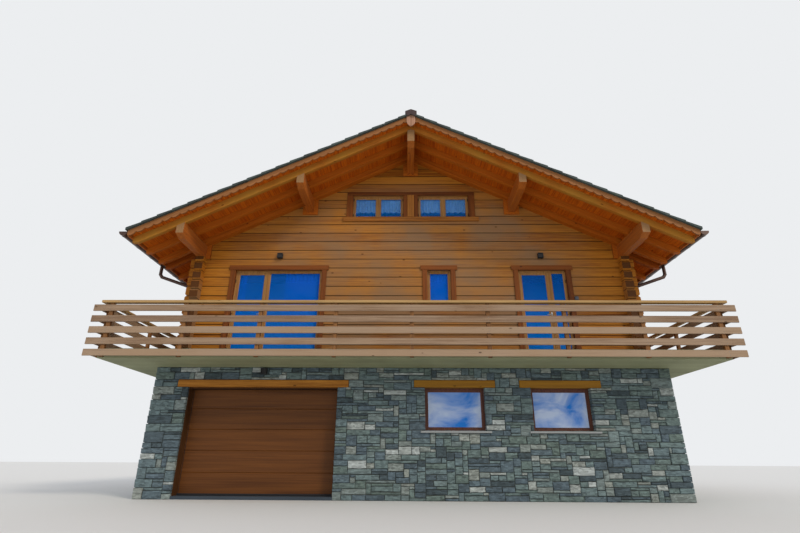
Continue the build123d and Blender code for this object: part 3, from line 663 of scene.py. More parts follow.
def plain_coat(name, colour, metallic, roughness, spread=0.15):
    """Bare or coated metal, rubber or plastic, with the slight unevenness of a real surface."""
    material, tree = new_material(name)
    place = add(tree, "TexCoord", {}, "Object")
    patch = add(tree, "TexNoise", {"Vector": place, "Scale": 9, "Detail": 5})
    shade = add(tree, "MapRange", {0: patch, 1: 0.3, 2: 0.7, 3: 1 - spread, 4: 1 + spread})
    mixed = add(tree, "VectorMath", {0: colour, "Scale": shade}, operation="SCALE")
    rough = add(tree, "MapRange", {0: patch, 1: 0.3, 2: 0.7, 3: roughness - 0.07,
                                   4: roughness + 0.07})
    surface(tree, mixed, rough, patch, 0.0005, Metallic=metallic)
    return material


def glazing(name, deep, pale, painted_cloud, painted_cloud_low):
    """Float glass before a dark room: sharp, cool and partly see-through, its blue painted reflection
    of the sky.

    The first share is that of the pale drifts, painted reflection of cloud, and the second that share
    in the panes of the ground storey. The painted reflection is thinner towards the attic, where the
    lace shows.
    """
    material, tree = new_material(name)
    place = add(tree, "TexCoord", {}, "Object")
    # Pale drifts are painted reflection of cloud, strongest in the panes of the ground storey
    drift = add(tree, "Mapping", {"Vector": place, "Scale": (1.1, 1.1, 2.2)})
    drift = add(tree, "TexNoise", {"Vector": drift, "Scale": 1, "Detail": 5, "Roughness": 0.55,
                                   "Distortion": 0.6})
    level = add(tree, "SeparateXYZ", {0: place}, "Z")
    most = add(tree, "MapRange", {0: level, 1: DECK_BASE - 0.1, 2: DECK_TOP, 3: painted_cloud_low, 4: painted_cloud})
    drift = add(tree, "MapRange", {0: drift, 1: 0.34, 2: 0.60, 3: 0.05, 4: 1})
    drift = add(tree, "Math", {0: drift, 1: most}, operation="MULTIPLY")
    colour = add(tree, "Mix", {0: drift, 6: (*deep, 1), 7: (*pale, 1)}, 2, data_type="RGBA")
    # Less painted reflection, and a paler painted blue in what shows through, towards the attic
    share = add(tree, "MapRange", {0: level, 1: DECK_BASE, 2: DOOR_HEAD, 3: 0.85, 4: 0.30})
    upper = add(tree, "MapRange", {0: level, 1: DOOR_HEAD, 2: ATTIC_WINDOW.sill, 3: 0, 4: 1})
    tint = add(tree, "Mix", {0: upper, 6: (0.18, 0.52, 0.95, 1), 7: (0.84, 0.96, 1, 1)}, 2,
               data_type="RGBA")
    clear = add(tree, "BsdfTransparent", {"Color": tint})
    # Deep blue base colour and blue specular tint are painted reflection of the sky
    coated = add(tree, "BsdfPrincipled", {"Base Color": colour, "Roughness": 0.03, "IOR": 1.52,
                                          "Specular Tint": (0.04, 0.32, 0.9, 1)})
    add(tree, "OutputMaterial", {"Surface": add(tree, "MixShader", {0: share, 1: clear, 2: coated})})
    return material


def cloth(name, colour, alpha, holes=0.0):
    """Fine cotton: matt, with slubs in its threads, and as lace with holes 6 to 14 mm wide."""
    material, tree = new_material(name)
    flat = add(tree, "UVMap", {}, uv_map="flat")
    threads = add(tree, "Mapping", {"Vector": flat, "Scale": (420, 90, 1)})
    threads = add(tree, "TexNoise", {"Vector": threads, "Scale": 1, "Detail": 2})
    shade = add(tree, "MapRange", {0: threads, 1: 0.3, 2: 0.7, 3: 0.86, 4: 1.08})
    mixed = add(tree, "VectorMath", {0: colour, "Scale": shade}, operation="SCALE")
    seen = alpha
    if holes:
        # Net drawn as coarse as it needs to show in the render
        near = add(tree, "TexVoronoi", {"Vector": flat, "Scale": 38}, "Distance")
        flower = add(tree, "TexVoronoi", {"Vector": flat, "Scale": 9}, "Distance")
        open_net = add(tree, "MapRange", {0: near, 1: 0.25, 2: 0.45, 3: alpha - holes, 4: alpha})
        solid = add(tree, "MapRange", {0: flower, 1: 0.25, 2: 0.38, 3: 1, 4: 0})
        seen = add(tree, "Mix", {0: solid, 2: open_net, 3: min(1.0, alpha + 0.1)}, 0,
                   data_type="FLOAT")
    surface(tree, mixed, 0.9, threads, 0.0004, Alpha=seen, Specular_IOR_Level=0.2)
    return material


# ---------------------------------------------------------------- operators

class CHALET_OT_stage(Operator):
    """Set the camera, lights, floor and backdrop"""
    bl_idname = "chalet.stage"
    bl_label = "Stage"

    def execute(self, context):
        scene = context.scene
        settings = scene.chalet_stage
        scene.view_settings.view_transform = "Standard"

        deselect()
        bpy.ops.mesh.primitive_plane_add(size=160)
        floor = context.object
        floor.name = "studio_floor"
        material, tree = new_material("Pale studio floor")
        surface(tree, (*settings.floor, 1), 0.9)
        coat(floor, material)

        # Backdrop for what is seen directly or in glass, softer light for everything else
        world = bpy.data.worlds.new("Studio")
        scene.world = world
        world.use_nodes = True
        tree = world.node_tree
        tree.nodes.clear()
        direct = add(tree, "LightPath", {}, "Is Camera Ray")
        for kind in ("Is Glossy Ray", "Is Transmission Ray"):
            direct = add(tree, "Math", {0: direct, 1: add(tree, "LightPath", {}, kind)},
                         operation="MAXIMUM")
        seen = add(tree, "Background", {"Color": (*settings.backdrop, 1), "Strength": 1.0})
        light = add(tree, "Background", {"Color": (*linear("#f4f7ff"), 1),
                                         "Strength": settings.fill_strength})
        add(tree, "OutputWorld", {"Surface": add(tree, "MixShader", {0: direct, 1: light, 2: seen})})

        sun = bpy.data.objects.new("Soft key", bpy.data.lights.new("Soft key", "SUN"))
        sun.data.energy = settings.key_strength
        sun.data.angle = radians(14)
        sun.data.color = linear("#fff3e2")
        sun.rotation_euler = Vector((-0.62, 0.60, -0.60)).to_track_quat("-Z", "Y").to_euler()
        scene.collection.objects.link(sun)

        # Viewpoint, tilt and lens solved from the photograph
        eye, lens = Vector((-0.1078, -15.313, 0.7732)), 21.113
        pitch, roll, yaw = radians(22.3575), 0.00549275, 0.0150556
        camera = bpy.data.objects.new("Camera", bpy.data.cameras.new("Camera"))
        camera.data.lens = lens
        camera.data.sensor_width = 36
        forward = Vector((-sin(yaw) * cos(pitch), cos(yaw) * cos(pitch), sin(pitch)))
        level = Vector((cos(yaw), sin(yaw), 0))
        upright = Vector((sin(yaw) * sin(pitch), -cos(yaw) * sin(pitch), cos(pitch)))
        right = cos(roll) * level + sin(roll) * upright
        above = cos(roll) * upright - sin(roll) * level
        turn = Matrix((right, above, -forward)).transposed()
        camera.matrix_world = Matrix.Translation(eye) @ turn.to_4x4()
        scene.collection.objects.link(camera)
        scene.camera = camera
        return {"FINISHED"}


def cell_lines(keys, cell):
    """Lines that split a run into nearly equal cells between its key lines."""
    lines = [keys[0]]
    for start, end in zip(keys, keys[1:]):
        count = max(1, round((end - start) / cell))
        lines += [start + (end - start) * step / count for step in range(1, count + 1)]
    return lines


def key_lines(half, openings, reach):
    """Wall ends and the sides of its openings and lintels, from left to right."""
    keys = {-half, half}
    for opening in openings:
        for side in (-1, 1):
            keys.add(opening.x + side * opening.width / 2)
            keys.add(opening.x + side * (opening.width / 2 + reach))
    return sorted(keys)


def corner_stack(dice, courses):
    """Corner stones, long and short in turn: first and next course, and reach along both walls."""
    stack, row, long_first = [], 0, dice.random() < 0.5
    while row < courses:
        tall = min(dice.choice((2, 3, 3, 4)), courses - row)
        if courses - row - tall == 1:
            tall += 1
        long, short = dice.randint(6, 9), dice.randint(3, 5)
        stack.append((row, row + tall, *((long, short) if long_first else (short, long))))
        long_first = not long_first
        row += tall
    return stack


def spoken_for(opening, x, level):
    """Whether a point of the wall lies in an opening or behind its lintel."""
    off = abs(x - opening.x) - opening.width / 2
    if opening.sill < level < opening.head:
        return off < 0
    return off < LINTEL_BEARING and opening.head < level < opening.head + LINTEL_HEIGHT


def taken_cells(columns, rows, openings, left_stack, right_stack):
    """Rows of a wall's cells, true where an opening, a lintel or a corner stone takes them."""
    end = len(columns) - 1
    taken = [[any(spoken_for(opening, (left + right) / 2, (low + high) / 2) for opening in openings)
              for left, right in zip(columns, columns[1:])] for low, high in zip(rows, rows[1:])]
    for low, high, _, reach in left_stack:
        for row in taken[low:high]:
            row[:reach] = [True] * reach
    for low, high, reach, _ in right_stack:
        for row in taken[low:high]:
            row[end - reach:] = [True] * reach
    return taken


def stone_cells(dice, taken):
    """Gather free cells into stones, course by course: first column and row, and size in cells."""
    for row in range(len(taken)):
        column = 0
        while column < len(taken[row]):
            free = (taken[row] + [True])[column:].index(True)
            if not free:
                column += 1
                continue
            # Mostly one or two cells tall, the taller the shorter, and no single cell left over
            tall = dice.choices((1, 2, 3, 4), (4, 6, 3, 1))[0]
            wide = dice.randint(*((4, 12), (3, 9), (2, 7), (2, 4))[tall - 1])
            if free - wide < 2:
                wide = free if free <= 12 else free // 2
            tall = min(tall, len(taken) - row)
            while any(any(line[column:column + wide]) for line in taken[row:row + tall]):
                tall -= 1
            for line in taken[row:row + tall]:
                line[column:column + wide] = [True] * wide
            yield column, row, wide, tall
            column += wide


def beside_openings(left, right, low, high, openings, joint):
    """Sides of a stone, drawn into an opening beside it, and its depth, there back to the frame."""
    depth, past = 0.03, 0.012
    for opening in openings:
        if low < opening.head and high > opening.sill:
            reveal = 0.055 if opening is GARAGE else 0.135
            if abs(right - opening.left) < 0.01:
                right, depth = right + past + joint / 2, reveal
            if abs(left - opening.right) < 0.01:
                left, depth = left - past - joint / 2, reveal
    return left, right, depth


def stone_base(width, deep, height, seed, two_faces=False):
    """Split block from Y 0 back, its outer face pillowed and its outline knocked off unevenly."""
    def outer(face):
        return face.normal.y < -0.9 or (two_faces and face.normal.x > 0.9)

    deselect()
    bpy.ops.mesh.primitive_cube_add(size=1, scale=(width, deep, height), location=(0, deep / 2, 0))
    block = settle()
    with editing():
        # Cuts give the outline and the face points that can stray
        for share in (-0.17, 0.17):
            bpy.ops.mesh.bisect(plane_co=(share * width, 0, 0), plane_no=(1, 0, 0))
            bpy.ops.mesh.select_all(action="SELECT")
        bpy.ops.mesh.bisect(plane_co=(0, 0, 0.06 * height), plane_no=(0, 0, 1))
        pick("EDGE", lambda edge: (edge.calc_face_angle(0) > 0.5
                                   and any(outer(face) for face in edge.link_faces)))
        bpy.ops.mesh.bevel(offset=0.011, segments=1, affect="EDGES")
        pick("VERT", lambda vertex: all(outer(face) for face in vertex.link_faces))
        bpy.ops.transform.translate(value=(0, -0.004, 0))
        pick("VERT", lambda vertex: vertex.co.y < 0.7 * deep)
        bpy.ops.transform.vertex_random(offset=0.0085, seed=seed)
    return block


def footed(block):
    """Keep a block's uneven underside level with the foot of the walls, or above it."""
    for vertex in block.data.vertices:
        vertex.co.z = max(vertex.co.z, 0)
    return block


def bedded(base, deep, place):
    """Copy of a block whose back lies deep behind its face, put in its place in the wall."""
    block = copied(base, Matrix())
    for vertex in block.data.vertices:
        if vertex.co.y > 0.5:
            vertex.co.y = deep
    block.data.transform(place)
    return footed(block)


class CHALET_OT_masonry(Operator):
    """Face the ground storey with coursed rubble, and finish its mortar, floor and slab"""
    bl_idname = "chalet.masonry"
    bl_label = "Stonework"

    def execute(self, context):
        settings = context.scene.chalet_masonry
        dice = Random(settings.seed)
        stone = gneiss(settings)
        rows = cell_lines([0, GROUND_WINDOW.sill - SILL_HEIGHT, GROUND_WINDOW.head,
                           GROUND_WINDOW.head + LINTEL_HEIGHT, DECK_BASE], settings.cell)
        stacks = [corner_stack(dice, len(rows) - 1) for _ in ANGLES]

        # Blocks of three proportions, longest first, and those of the corners
        shapes, quoin = 5, (0.4, 0.3, 0.16)
        blocks = [(width, height, [stone_base(width, 1, height, 3 + n) for n in range(shapes)])
                  for width, height in ((0.42, 0.09), (0.3, 0.15), (0.16, 0.18))]
        quoins = [stone_base(*quoin, 20 + n, True) for n in range(4)]

        for number, side in enumerate(ANGLES):
            half, distance = (STONE_X, STONE_Y) if side in GABLES else (STONE_Y, STONE_X)
            openings = STONE_WINDOWS[side] + ([GARAGE] if side == "front" else [])
            columns = cell_lines(key_lines(half, openings, LINTEL_BEARING), settings.cell)
            taken = taken_cells(columns, rows, openings, stacks[number - 1], stacks[number])
            place = turned(side, distance)
            pieces = []
            for column, row, wide, tall in stone_cells(dice, taken):
                low, high = rows[row], rows[row + tall]
                left, right, depth = beside_openings(
                    columns[column], columns[column + wide], low, high, openings, settings.joint)
                proud = dice.uniform(settings.proud_least, settings.proud_most)
                gap = settings.joint + dice.uniform(-0.003, 0.005)
                size = (right - left - gap, high - low - gap)
                shape = size[0] / size[1]
                width, height, bases = blocks[0 if shape > 3.2 else 1 if shape > 1.3 else 2]
                base = bases[dice.randrange(shapes)]
                scale = Matrix.Diagonal((size[0] / width, 1, size[1] / height, 1))
                spot = Matrix.Translation(((left + right) / 2, -proud, (low + high) / 2))
                lean = Matrix.Rotation(dice.uniform(-0.012, 0.012), 4, "Y")
                block = bedded(base, proud + depth, place @ spot @ lean @ scale)
                pieces.append(marked(block, "stone", dice.random()))

            # Corner stones of the wall's right-hand end, shared with the next wall
            proud = settings.proud_most
            for first, after, reach, back in stacks[number]:
                low, high = rows[first], rows[after]
                size = (half - columns[-1 - reach] + proud - settings.joint / 2,
                        back * settings.cell + proud - settings.joint / 2,
                        high - low - settings.joint)
                base = quoins[dice.randrange(len(quoins))]
                scale = Matrix.Diagonal((*(new / old for new, old in zip(size, quoin)), 1))
                spot = Matrix.Translation((half + proud - size[0] / 2, -proud, (low + high) / 2))
                block = footed(copied(base, place @ spot @ scale))
                pieces.append(marked(block, "stone", dice.random()))
            facing = joined([coat(piece, stone) for piece in pieces], f"{side}_stonework")
            keep(facing, "gneiss")
        for base in sum((bases for _, _, bases in blocks), quoins):
            bpy.data.objects.remove(base)

        nodes, raked = frame["nodes"], mortar()
        for side in ANGLES:
            coat(nodes[f"stone_{side}_wall"], raked)
        # The floor's dark blue-grey is painted shade
        coat(nodes["ground_floor"],
             concrete("Concrete floor in painted shade", linear("#28323b"), linear("#3e4852")))
        coat(nodes["balcony_slab"],
             concrete("Board-marked concrete", linear("#75785a"), linear("#9a9d79")))
        return {"FINISHED"}


class CHALET_OT_stains(Operator):
    """Stain the log walls and roof timbers"""
    bl_idname = "chalet.stains"
    bl_label = "Stained timber"

    def execute(self, context):
        settings = context.scene.chalet_timber
        nodes = frame["nodes"]
        light, dark = list(settings.log_light), list(settings.log_dark)
        faded = (linear("#876b4e"), 0.8)
        # The dark seams between the logs are painted shade
        gable_logs = timber("Stained spruce logs of the gables", light, dark, "X", seam=0.12,
                            rows=((0, 0, 1), DECK_TOP + COURSE / 2, COURSE), gap=0.014, worn=faded,
                            open_to=((0, 0, DECK_TOP + 2.2), (4.6, 99, 2.6)),
                            butt=linear("#743610"))
        side_logs = timber("Stained spruce logs of the sides", light, dark, "Y", seam=0.12,
                           rows=((0, 0, 1), DECK_TOP, COURSE), gap=0.014, worn=faded,
                           open_to=((0, 0, DECK_TOP + 0.4), (99, 99, 1.6)), butt=linear("#58330f"))
        for side in ANGLES:
            coat(nodes[f"{side}_log_wall"], gable_logs if side in GABLES else side_logs)

        light, dark = list(settings.roof_light), list(settings.roof_dark)
        beams = timber("Stained spruce beams", light, dark, "Y", worn=(linear("#9a7247"), 0.25),
                       butt=linear("#94704a"))
        for name in ("ridge_purlin", "mid_purlin_left", "mid_purlin_right", "low_purlin_left",
                     "low_purlin_right", "eave_boards"):
            coat(nodes[name], beams)
        sloping = timber("Stained spruce rafters", light, dark, "X", tilt=PITCH,
                         rows=((0, 1, 0), 0, 0.35), worn=(linear("#b4812f"), 0.9),
                         open_to=((0, BOARD_Y, 0), (99, 0.3, 99)))
        for name in ("rafters_left", "rafters_right", "gable_trims"):
            coat(nodes[name], sloping)
        verge = timber("Weathered spruce verge boards", linear("#a0683c"), linear("#6c4222"), "X",
                       tilt=PITCH, worn=(linear("#8f6238"), 0.4))
        for name in ("front_bargeboards", "rear_bargeboards"):
            coat(nodes[name], verge)
        coat(nodes["ridge_pendants"], timber("Weathered spruce shields", linear("#b58a70"),
                                             linear("#80593f"), "Z"))
        floor = timber("Spruce floor boards", light, dark, "X", rows=((0, 1, 0), 0, 0.15), gap=0.004)
        coat(nodes["attic_floor"], floor)
        return {"FINISHED"}


def casing_boxes(opening, wide, thick, past):
    """Boards round an opening, the head board running past both jambs, and a window's foot board."""
    boxes = [((opening.left - wide - past, -thick - 0.006, opening.head),
              (opening.right + wide + past, 0, opening.head + wide))]
    for left, right in ((opening.left - wide, opening.left), (opening.right, opening.right + wide)):
        boxes.append(((left, -thick, opening.sill), (right, 0, opening.head)))
    if opening.sill > DECK_TOP:
        boxes.append(((opening.left - wide - past, -thick - 0.012, opening.sill - wide),
                      (opening.right + wide + past, 0, opening.sill)))
    return boxes


def attic_boxes(thick):
    """Boards round the two attic windows, and apart from them the foot board and the middle post."""
    sill, head = ATTIC_WINDOW.sill, ATTIC_WINDOW.head
    inner, outer = ATTIC_WINDOW.left, ATTIC_WINDOW.right
    wide, tall, post, past = 0.16, 0.10, 0.085, 0.245
    boxes = [((-outer - wide, -thick, head), (outer + wide, 0, head + tall)),
             ((-outer - wide, -thick, sill), (-outer, 0, head)),
             ((outer, -thick, sill), (outer + wide, 0, head)),
             ((-inner, -thick, sill), (-post, 0, head)),
             ((post, -thick, sill), (inner, 0, head))]
    middle = [((-outer - past, -thick - 0.012, sill - 0.12), (outer + past, 0, sill)),
              ((-post, -thick - 0.02, sill), (post, 0, head))]
    return boxes, middle


class CHALET_OT_surrounds(Operator):
    """Fit casings, lintels and sills round the openings"""
    bl_idname = "chalet.surrounds"
    bl_label = "Casings, lintels, sills"

    def execute(self, context):
        ease = context.scene.chalet_timber.ease
        dice = Random(11)
        woods = timber_set("Red-brown stained larch", linear("#85491a"), linear("#552a0c"))
        trim = timber_set("Amber stained larch", linear("#b27330"), linear("#7c4716"))
        wide, thick, past = 0.12, 0.03, 0.045
        for name, sides in (("front_casings", ("front",)),
                            ("other_casings", ("right", "rear", "left"))):
            pieces = []
            for side in sides:
                distance = LOG_Y if side in GABLES else LOG_X
                boxes = [box for opening in LOG_WINDOWS[side] if opening not in ATTIC_PAIR
                         for box in casing_boxes(opening, wide, thick, past)]
                if side in GABLES:
                    outer, middle = attic_boxes(thick)
                    boxes += outer
                    pieces += boards(side, distance, middle, trim, ease, dice)
                pieces += boards(side, distance, boxes, woods, ease, dice)
            keep(joined(pieces, name.replace("casings", "window_casings")), "casing_wood", name)

        # Lintels and sills through the stone
        amber = timber_set("Amber stained lintel beams", linear("#c48434"), linear("#905816"))
        shaded = timber_set("Shaded lintel beams", linear("#a0701f"), linear("#704a12"))
        granite = sawn_stone()
        lintel_proud, lintel_back = -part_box("lintels")[0].y - STONE_Y, 0.37
        sill_proud, sill_back = 0.06, 0.36
        beams, slabs = [], []
        for side, windows in STONE_WINDOWS.items():
            distance = STONE_Y if side in GABLES else STONE_X
            doorways = [GARAGE] if side == "front" else []
            for openings, stained in ((windows, shaded), (doorways, amber)):
                boxes = []
                for opening in openings:
                    half = opening.width / 2 + LINTEL_BEARING
                    boxes.append(((opening.x - half, -lintel_proud, opening.head),
                                  (opening.x + half, lintel_back, opening.head + LINTEL_HEIGHT)))
                beams += boards(side, distance, boxes, stained, 0.009, dice)
            for opening in windows:
                half = opening.width / 2 + SILL_REACH
                slab = bar((opening.x - half, -sill_proud, opening.sill - SILL_HEIGHT),
                           (opening.x + half, sill_back, opening.sill), 0.004)
                slabs.append(coat(set_in(slab, side, distance), granite))
        keep(joined(beams, "lintel_beams"), "lintel_wood", "lintels")
        keep(joined(slabs, "sill_slabs"), "sill_stone", "window_sills")
        return {"FINISHED"}


class CHALET_OT_railing(Operator):
    """Build the slatted balcony railing"""
    bl_idname = "chalet.railing"
    bl_label = "Railing"

    def execute(self, context):
        settings = context.scene.chalet_timber
        dice = Random(5)
        light, dark = list(settings.rail_light), list(settings.rail_dark)
        slats = timber_set("Weathered larch slats", light, dark, knots=0.8, spread=0.45,
                           worn=(linear("#a89480"), 0.35))
        posts = timber_set("Oiled larch posts", linear("#8e6238"), linear("#5e3c20"))
        caps = timber_set("Oiled larch handrail", linear("#c09c68"), linear("#8f7040"))
        steel = plain_coat("Zinc-coated screws", linear("#8d8f8e"), 1.0, 0.45)
        screw = coat(round_bar(0.006, 0.004, "Y", sides=8), steel)
        deck_x, deck_y = SLAB_HIGH.x, -SLAB_LOW.y
        half_post, depth, thick, proud = 0.04, 0.07, 0.03, 0.015
        slat_foot, slat_pitch, slat_tall = DECK_BASE + 0.032, 0.236, 0.138
        cap_base = DECK_TOP + 0.955
        cap_width, cap_height = 0.13, 0.055
        slat_x, corner = deck_x + depth + thick, deck_x - 0.1
        cap_x, inset = slat_x + proud, cap_width - proud - thick
        front_end, rear_end = deck_y + depth, STONE_Y + depth
        gap_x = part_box("front_log_wall")[1].x + 0.03

        def run(side, distance, ends, cap, row, name, *stands_for):
            """Posts, slats, handrail and screws of one straight stretch."""
            place = turned(side, distance)
            boxes = [((x - half_post, -depth, DECK_BASE + 0.02), (x + half_post, 0, cap_base))
                     for x in row]
            pieces = boards(side, distance, boxes, posts, 0.004, dice)
            lows = [slat_foot + slat_pitch * slat for slat in range(5)]
            boxes = [((ends[0], -depth - thick, low), (ends[1], -depth, low + slat_tall))
                     for low in lows]
            pieces += boards(side, distance, boxes, slats, 0.004, dice)
            boxes = [((cap[0], -depth - thick - proud, cap_base),
                      (cap[1], inset - depth, cap_base + cap_height))]
            pieces += boards(side, distance, boxes, caps, 0.008, dice)
            for x in row:
                for low in lows:
                    for rise in (0.035, 0.103):
                        spot = Matrix.Translation((x, -depth - thick - 0.001, low + rise))
                        pieces.append(copied(screw, place @ spot))
            keep(joined(pieces, name), "railing_wood", *stands_for)

        reach = slat_x + 0.16
        run("front", deck_y, (-reach, reach), (-cap_x, cap_x),
            [-corner + 2 * corner * bay / 8 for bay in range(9)], "front_balustrade", "front_railing")
        first, last = 0.1 - deck_y, STONE_Y - 0.1
        row = [first + (last - first) * bay / 6 for bay in range(7)]
        run("right", deck_x, (-front_end, rear_end), (inset - front_end, rear_end - inset), row,
            "right_balustrade", "right_railing")
        run("left", deck_x, (-rear_end, front_end), (inset - rear_end, front_end - inset),
            [-x for x in row], "left_balustrade", "left_railing")
        run("rear", STONE_Y, (gap_x, slat_x), (gap_x, cap_x), [gap_x + 0.08, corner],
            "left_balustrade_end")
        run("rear", STONE_Y, (-slat_x, -gap_x), (-cap_x, -gap_x), [-corner, -gap_x - 0.08],
            "right_balustrade_end", "railing_ends")
        bpy.data.objects.remove(screw)
        return {"FINISHED"}


def slopes(piece, peak, name, slot, *stands_for):
    """Lay a piece on both slopes of the roof, down from its peak on the ridge line."""
    lift = Matrix.Translation((0, 0, peak)) @ Matrix.Rotation(PITCH, 4, "Y")
    for side, turn in (("right", Matrix()), ("left", HALF_TURN)):
        keep(joined([copied(piece, turn @ lift)], f"{name}_{side}"), slot,
             *(f"{node}_{side}" for node in stands_for))
    bpy.data.objects.remove(piece)


class CHALET_OT_soffit(Operator):
    """Board the roof's underside"""
    bl_idname = "chalet.soffit"
    bl_label = "Soffit boards"

    def execute(self, context):
        # Boards from gable to gable, with eased edges that show as V-joints
        thick, open_joint = BOARD_DROP * cos(PITCH), 0.001
        length = BOARD_X / cos(PITCH)
        count = round(length / context.scene.chalet_roof.plank_pitch)
        pitch = length / count
        plank = bar((0, -BOARD_Y, -thick), (pitch - open_joint, BOARD_Y, 0), 0.003)
        repeated(plank, count, (pitch, 0, 0))
        # Faint painted shade in the seams between the boards
        coat(plank, timber("Stained spruce soffit boards", linear("#cf6a10"), linear("#9a3c02"), "Y",
                           tilt=PITCH, rows=((1, 0, 0), -BOARD_TOP * sin(PITCH), pitch), gap=0.004,
                           seam=0.75, spread=0.12))
        slopes(plank, BOARD_TOP, "soffit_boards", "soffit_board", "roof_boards")
        return {"FINISHED"}


class CHALET_OT_tiles(Operator):
    """Lay the tiles in courses on both slopes"""
    bl_idname = "chalet.tiles"
    bl_label = "Roof tiles"

    def execute(self, context):
        settings = context.scene.chalet_roof
        past, lap, tail, lift = 0.004, 0.03, 0.024, 0.018
        tile_wide = 2 * (ROOF_Y + past) / settings.tile_columns
        tile_long = ROOF_X / cos(PITCH) / settings.tile_rows

        # One tile, waved across and dropped at its foot onto the course below
        deselect()
        bpy.ops.mesh.primitive_grid_add(x_subdivisions=1, y_subdivisions=8, size=1)
        tile = settle((tile_long, tile_wide, 1))
        with editing():
            points = bmesh.from_edit_mesh(tile.data).verts
            for level in sorted({round(vertex.co.y, 5) for vertex in points}):
                pick("VERT", lambda vertex: abs(vertex.co.y - level) < 0.001)
                rise = -settings.tile_roll * cos(4 * pi * level / tile_wide)
                bpy.ops.transform.translate(value=(0, 0, rise))
            pick("VERT", lambda vertex: vertex.co.x < 0)
            bpy.ops.transform.translate(value=(-lap, 0, -tail))
        applied(tile, "SOLIDIFY", thickness=settings.tile_thick, offset=-1)
        tile.data.transform(Matrix.Translation((tile_long / 2, tile_wide / 2 - ROOF_Y - past, lift)))
        repeated(tile, settings.tile_columns, (0, tile_wide, 0))
        repeated(tile, settings.tile_rows, (tile_long, 0, 0))
        covering = roof_tile("Weathered concrete roof tile", list(settings.tile),
                             (ROOF_X / settings.tile_rows, tile_wide))
        slopes(coat(tile, covering), ROOF_TOP, "tile_courses", "roof_tile")
        for side in ("right", "left"):
            coat(frame["nodes"][f"roof_tiles_{side}"], covering)
        return {"FINISHED"}


class CHALET_OT_ridge(Operator):
    """Cap the ridge and close its ends"""
    bl_idname = "chalet.ridge"
    bl_label = "Ridge"

    def execute(self, context):
        # Angular ridge tiles with plumb cheeks, each lapping the next
        cap_low, cap_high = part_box("ridge_cap")
        cheek, lap, laid = 0.10, 0.035, 31
        peak = cap_high.z - cap_low.z - cheek
        pitch = (2 * ROOF_Y - lap) / laid
        ridge = peaked((2 * cap_high.x, pitch + lap, cheek),
                       (0, (pitch + lap) / 2 - ROOF_Y, cap_low.z + cheek / 2), peak,
                       lambda vertex: vertex.co.y > -ROOF_Y + lap, 0.93, 0.012, 0.005)
        repeated(ridge, laid, (0, pitch, 0))

        # Peaked plate that closes each end of the ridge over the first tiles
        thick, skirt = 0.012, 0.05
        plate = peaked((2 * cap_high.x, thick, cheek + skirt),
                       (0, -ROOF_Y - 0.007, cap_low.z + (cheek - skirt) / 2), peak - 0.004,
                       lambda vertex: vertex.co.z < cap_low.z + 0.02, 0.72, 0, 0.003)
        brown = roof_tile("Dark brown ridge tile", linear("#40302f"))
        pieces = [coat(piece, brown) for piece in (ridge, copied(plate, HALF_TURN), plate)]
        keep(joined(pieces, "ridge_tiles"), "ridge_tile", "ridge_cap")
        return {"FINISHED"}


class CHALET_OT_gutters(Operator):
    """Hang the gutters in straps and clamp the downpipes"""
    bl_idname = "chalet.gutters"
    bl_label = "Gutters"

    def execute(self, context):
        nodes = frame["nodes"]
        sheet = plain_coat("Brown coated sheet", linear("#4c352b"), 0.35, 0.38)
        for name in ("gutter_left", "gutter_right", "downpipe_left", "downpipe_right"):
            coat(nodes[name], sheet)

        # One strap round the gutter, with its arm over the mouth
        low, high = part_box("gutter_right")
        centre, reach = Vector(((low.x + high.x) / 2, 0, high.z)), (high.x - low.x) / 2
        deselect()
        bpy.ops.mesh.primitive_cylinder_add(vertices=24, radius=reach + 0.0025, depth=0.025,
                                            end_fill_type="NOTHING", rotation=(pi / 2, 0, 0))
        strap = settle()
        with editing():
            bpy.ops.mesh.bisect(plane_co=(0, 0, 0.004), plane_no=(0, 0, 1), clear_outer=True)
        applied(strap, "SOLIDIFY", thickness=0.003, offset=1)
        hook = bar((-reach, -0.0125, 0.001), (reach + 0.004, 0.0125, 0.005), 0.001)
        strap = joined([strap, hook], "strap")
        straps, spaces, inset = [], 20, 0.07
        pitch = (2 * BOARD_Y - 2 * inset) / spaces
        for turn in (Matrix(), HALF_TURN):
            for number in range(spaces + 1):
                spot = Matrix.Translation(centre + Vector((0, -BOARD_Y + inset + number * pitch, 0)))
                straps.append(copied(strap, turn @ spot))
        bpy.data.objects.remove(strap)

        # Clamps round the pipes, each on an arm from the logs
        pipe_low, pipe_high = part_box("downpipe_right")
        radius, band, half = 0.04, 0.006, 0.008
        pipe_x, pipe_y = pipe_low.x + radius, (pipe_low.y + pipe_high.y) / 2
        for side in (-1, 1):
            inner, outer = sorted((side * LOG_X, side * pipe_x))
            for level in (DECK_TOP + 0.35, DECK_TOP + 1.35):
                straps.append(round_bar(radius + band, 0.028, "Z", (side * pipe_x, pipe_y, level),
                                        sides=24))
                straps.append(bar((inner, pipe_y - half, level - half),
                                  (outer, pipe_y + half, level + half), 0.001))
        for piece in straps:
            coat(piece, sheet)
        keep(joined(straps, "gutter_straps"), "gutter_metal")
        return {"FINISHED"}


def leaf_hinges(opening, leaf_height, near, side, distance, metal):
    """Barrel hinges on the stile at the near or far jamb, three on a door and two on a window."""
    inset = 0.012
    jamb = opening.left + inset if near else opening.right - inset
    hinges = []
    for share in (0.12, 0.5, 0.88) if leaf_height > 1.2 else (0.15, 0.85):
        level = opening.sill + share * (opening.head - opening.sill)
        barrel = round_bar(0.008, 0.075, "Z", (jamb, -0.006, level), sides=10, dished=(0.003, 0.003))
        hinges.append(coat(set_in(barrel, side, distance), metal))
    return hinges


